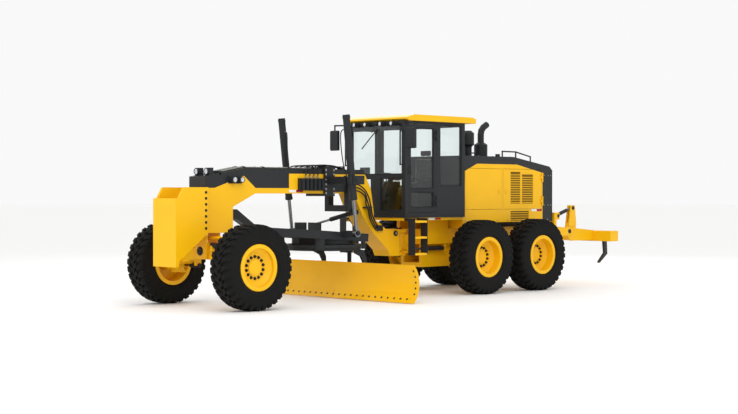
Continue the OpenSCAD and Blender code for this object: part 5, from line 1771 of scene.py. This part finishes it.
@dataclass
class CabTrim:
    """Sun strip, screen monitor and ribbed floor mat inside the cab."""

    # Sun strip behind the windscreen's top: its rear and front, half its width, and its bottom and top
    strip_xs: Span = (2.3505, 2.3535)
    strip_half: float = 0.655
    strip_inner: float = 0.300
    strip_zs: Span = (2.945, 3.055)
    monitor: Faces = ((2.195, 2.235), (-0.560, -0.330), (2.120, 2.300))
    monitor_bevel: float = 0.010
    stalk: tuple[Point, ...] = ((2.215, -0.445, 2.13), (2.225, -0.450, 2.02), (2.260, -0.470, 1.90),
                                (2.330, -0.480, 1.86))
    stalk_radius: float = 0.014
    screen: Faces = ((2.1935, 2.1965), (-0.545, -0.345), (2.140, 2.285))
    screen_bevel: float = 0.001
    mat: Faces = ((0.900, 2.310), (-0.680, 0.680), (1.4352, 1.441))
    mat_bevel: float = 0.002
    # Ribs of the mat, to either side of the steering column
    ribs: int = 26
    rib_x: float = 1.660
    rib_pitch: float = 0.024
    rib_ys: Span = (0.160, 0.660)
    rib_z: float = 1.4415
    rib_radius: float = 0.004

    def build(self) -> None:
        """Makes the trim."""
        strip = Shape()
        rear, front = self.strip_xs
        section = rectangle(self.strip_zs, (front, rear))
        strip.rings([pivot(x, y, z) for z, x in section]
                    for y in (-self.strip_half, -self.strip_inner, self.strip_inner, self.strip_half))
        strip.done("sun_strip", ABS, "rear")
        monitor = Shape()
        monitor.block(pivot, *self.monitor, self.monitor_bevel)
        monitor.tube(smooth_path([pivot(*p) for p in self.stalk]), self.stalk_radius)
        monitor.done("monitor", ABS, "rear")
        screen = Shape()
        screen.block(pivot, *self.screen, self.screen_bevel)
        screen.done("monitor_screen", SCREEN, "rear")
        mat = Shape()
        mat.block(pivot, *self.mat, self.mat_bevel)
        for k in range(self.ribs):
            x = self.rib_x + self.rib_pitch * k
            for side in Side:
                ends = on_side(pivot, side, [(x, y, self.rib_z) for y in self.rib_ys])
                mat.tube(sorted(ends), self.rib_radius, 6)
        mat.done("floor_mat", HOSE, "rear")


@dataclass
class PanelFasteners:
    """Bolts of the hood's panels, the roof and the saddle, and mesh behind the rear grille."""

    hood_y: float = 0.650
    # Bolts along the hood's foot
    foot_stations: tuple[float, ...] = (0.70, 0.40, 0.10, -0.20, -0.50, -1.20, -1.45, -1.70)
    foot_z: float = 1.318
    foot_head: float = 0.016
    # Bolts at the hood's tail, up its front edge and on its top
    tail_stations: tuple[float, ...] = (-1.60, -1.72, -1.80)
    tail_zs: Span = (2.18, 1.60)
    edge_x: float = 0.755
    edge_zs: tuple[float, ...] = (1.55, 1.75, 1.95, 2.15, 2.35)
    top_stations: tuple[float, ...] = (0.70, 0.30, -0.10, -0.60)
    top_y: float = 0.620
    top_z: float = 2.525
    hood_head: float = 0.014
    # Bolts at the roof's corners
    roof_stations: Span = (2.10, 0.80)
    roof_y: float = 0.700
    roof_z: float = 3.220
    roof_head: float = 0.018
    # Bolts of the saddle in two columns. The rear one leaves room for the lift cylinder's arm
    saddle_y: float = 0.245
    saddle_columns: tuple[tuple[float, tuple[float, ...]], ...] = (
        (-2.355, (1.830, 1.900, 1.980, 2.060, 2.150, 2.225)), (-2.535, (1.830, 1.900, 2.150, 2.225)))
    saddle_head: float = 0.022
    # Mesh: where its upright and its level wires lie, how far they reach, and where they start
    mesh_pitch: float = 0.015
    wire: float = 0.0016
    upright_x: float = -1.828
    upright_y: float = -0.450
    upright_zs: Span = (1.392, 2.158)
    uprights: int = 61
    level_x: float = -1.8265
    level_z: float = 1.400
    level_half: float = 0.458
    levels: int = 51

    def build(self) -> None:
        """Makes the fasteners of the rear body and those of the front, then the mesh."""
        rear, front = Shape(), Shape()
        hood = [(x, z) for x in self.tail_stations for z in self.tail_zs]
        hood += [(self.edge_x, z) for z in self.edge_zs]
        for side in Side:
            for x in self.foot_stations:
                rear.bolt(pivot(x, side.value * self.hood_y, self.foot_z), side.out, self.foot_head)
            for x, z in hood:
                rear.bolt(pivot(x, side.value * self.hood_y, z), side.out, self.hood_head)
            for x in self.top_stations:
                rear.bolt(pivot(x, side.value * self.top_y, self.top_z), UP, self.hood_head)
            for x in self.roof_stations:
                rear.bolt(pivot(x, side.value * self.roof_y, self.roof_z), UP, self.roof_head)
            for x, heights in self.saddle_columns:
                for z in heights:
                    front.bolt(station(x, side.value * self.saddle_y, z), side.out, self.saddle_head)
        rear.done("panel_bolts_rear", ZINC, "rear")
        front.done("saddle_bolts", ZINC, "front")
        self.mesh()

    def mesh(self) -> None:
        """Makes the mesh behind the rear grille."""
        shape = Shape()
        for k in range(self.uprights):
            y = self.upright_y + self.mesh_pitch * k
            shape.tube([pivot(self.upright_x, y, z) for z in self.upright_zs], self.wire, 4)
        for k in range(self.levels):
            z = self.level_z + self.mesh_pitch * k
            shape.tube([pivot(self.level_x, y, z) for y in (-self.level_half, self.level_half)], self.wire, 4)
        shape.done("grille_mesh", DARK, "rear")


@dataclass
class LouvreScreens:
    """Wire screens that show between the slats of the louvres, on the rear engine doors and on the sills."""

    step: float = 0.012
    doors: tuple[Field, ...] = (((-0.876, -0.588), (1.633, 2.240)), ((-1.259, -0.927), (1.633, 2.193)))
    sill: Field = ((-1.132, -0.588), (1.305, 1.490))
    sheet_ys: Span = (0.6355, 0.6385)
    sheet_gap: float = 0.001
    wire_y: float = 0.641
    wire: float = 0.003
    wire_gap: float = 0.002

    def build(self) -> None:
        """Makes the screens of both sides."""
        for side in Side:
            door, sill = Shape(), Shape()
            for field in self.doors:
                self.screen(door, field, side)
            self.screen(sill, self.sill, side)
            door.done(f"louvre_screens_door_{side.word}", SCREEN_WIRE, f"engine_door_rear_{side.word}")
            sill.done(f"louvre_screens_sill_{side.word}", SCREEN_WIRE, "rear")

    def screen(self, shape: Shape, field: Field, side: Side) -> None:
        """Adds the upright wires and the backing sheet of one field.

        Args:
            shape: what they are added to.
            field: the field of louvres.
            side: the side of the hood.
        """
        (x0, x1), (z0, z1) = field
        gap = self.sheet_gap
        # The backing sheet and the wires take the darker yellow: painted shade of the recess behind the slats
        shape.block(pivot, (x0 + gap, x1 - gap), self.sheet_ys, (z0 + gap, z1 - gap), side=side)
        count = int((x1 - x0) / self.step)
        for k in range(1, count):
            x = x0 + (x1 - x0) * k / count
            wire = [(x, self.wire_y, z) for z in (z0 + self.wire_gap, z1 - self.wire_gap)]
            shape.tube(on_side(pivot, side, wire), self.wire, 6)


@dataclass
class CircleShield:
    """Rolled dust shield under the drawbar's rails, just above the circle."""

    x: float = -2.500
    outer: float = 0.535
    sheet: float = 0.012
    bottom: float = 0.958
    steps: int = 96
    # The rails fall to the rear, and the shield's top follows their undersides from this station and height
    rail_x: float = -1.150
    rail_z: float = 1.130
    rail_deg: float = 4.0

    def build(self) -> None:
        """Makes the shield."""
        shape = Shape()
        inner = self.outer - self.sheet
        slope = math.tan(math.radians(self.rail_deg))
        rings = []
        for k in range(self.steps):
            a = math.tau * k / self.steps
            top = self.rail_z + (self.x + self.outer * math.cos(a) - self.rail_x) * slope
            section = ((self.outer, self.bottom), (self.outer, top), (inner, top), (inner, self.bottom))
            rings.append([station(self.x + r * math.cos(a), r * math.sin(a), z) for r, z in section])
        shape.rings(rings, closed=True)
        shape.done("circle_shield", DARK, "drawbar")


def main() -> None:
    """Builds the studio, dresses the CAD nodes and adds each sub-assembly's pieces."""
    logging.basicConfig(level=logging.INFO, format="%(name)s: %(message)s")
    Studio().build()
    CadFinishes().dress()
    for assembly in (Hoses(), Seat(), Tyres(), WheelNuts(), BladeEdge(), ReflectiveTape(), PushBlockBolts(),
                     HydraulicLines(), Lamps(), Mirrors(), Gaskets(), StepTreads(), PinCaps(), CabTrim(),
                     PanelFasteners(), LouvreScreens(), CircleShield(), Wiper()):
        log.info("building %s", type(assembly).__name__)
        assembly.build()


if __name__ == "__main__":
    main()
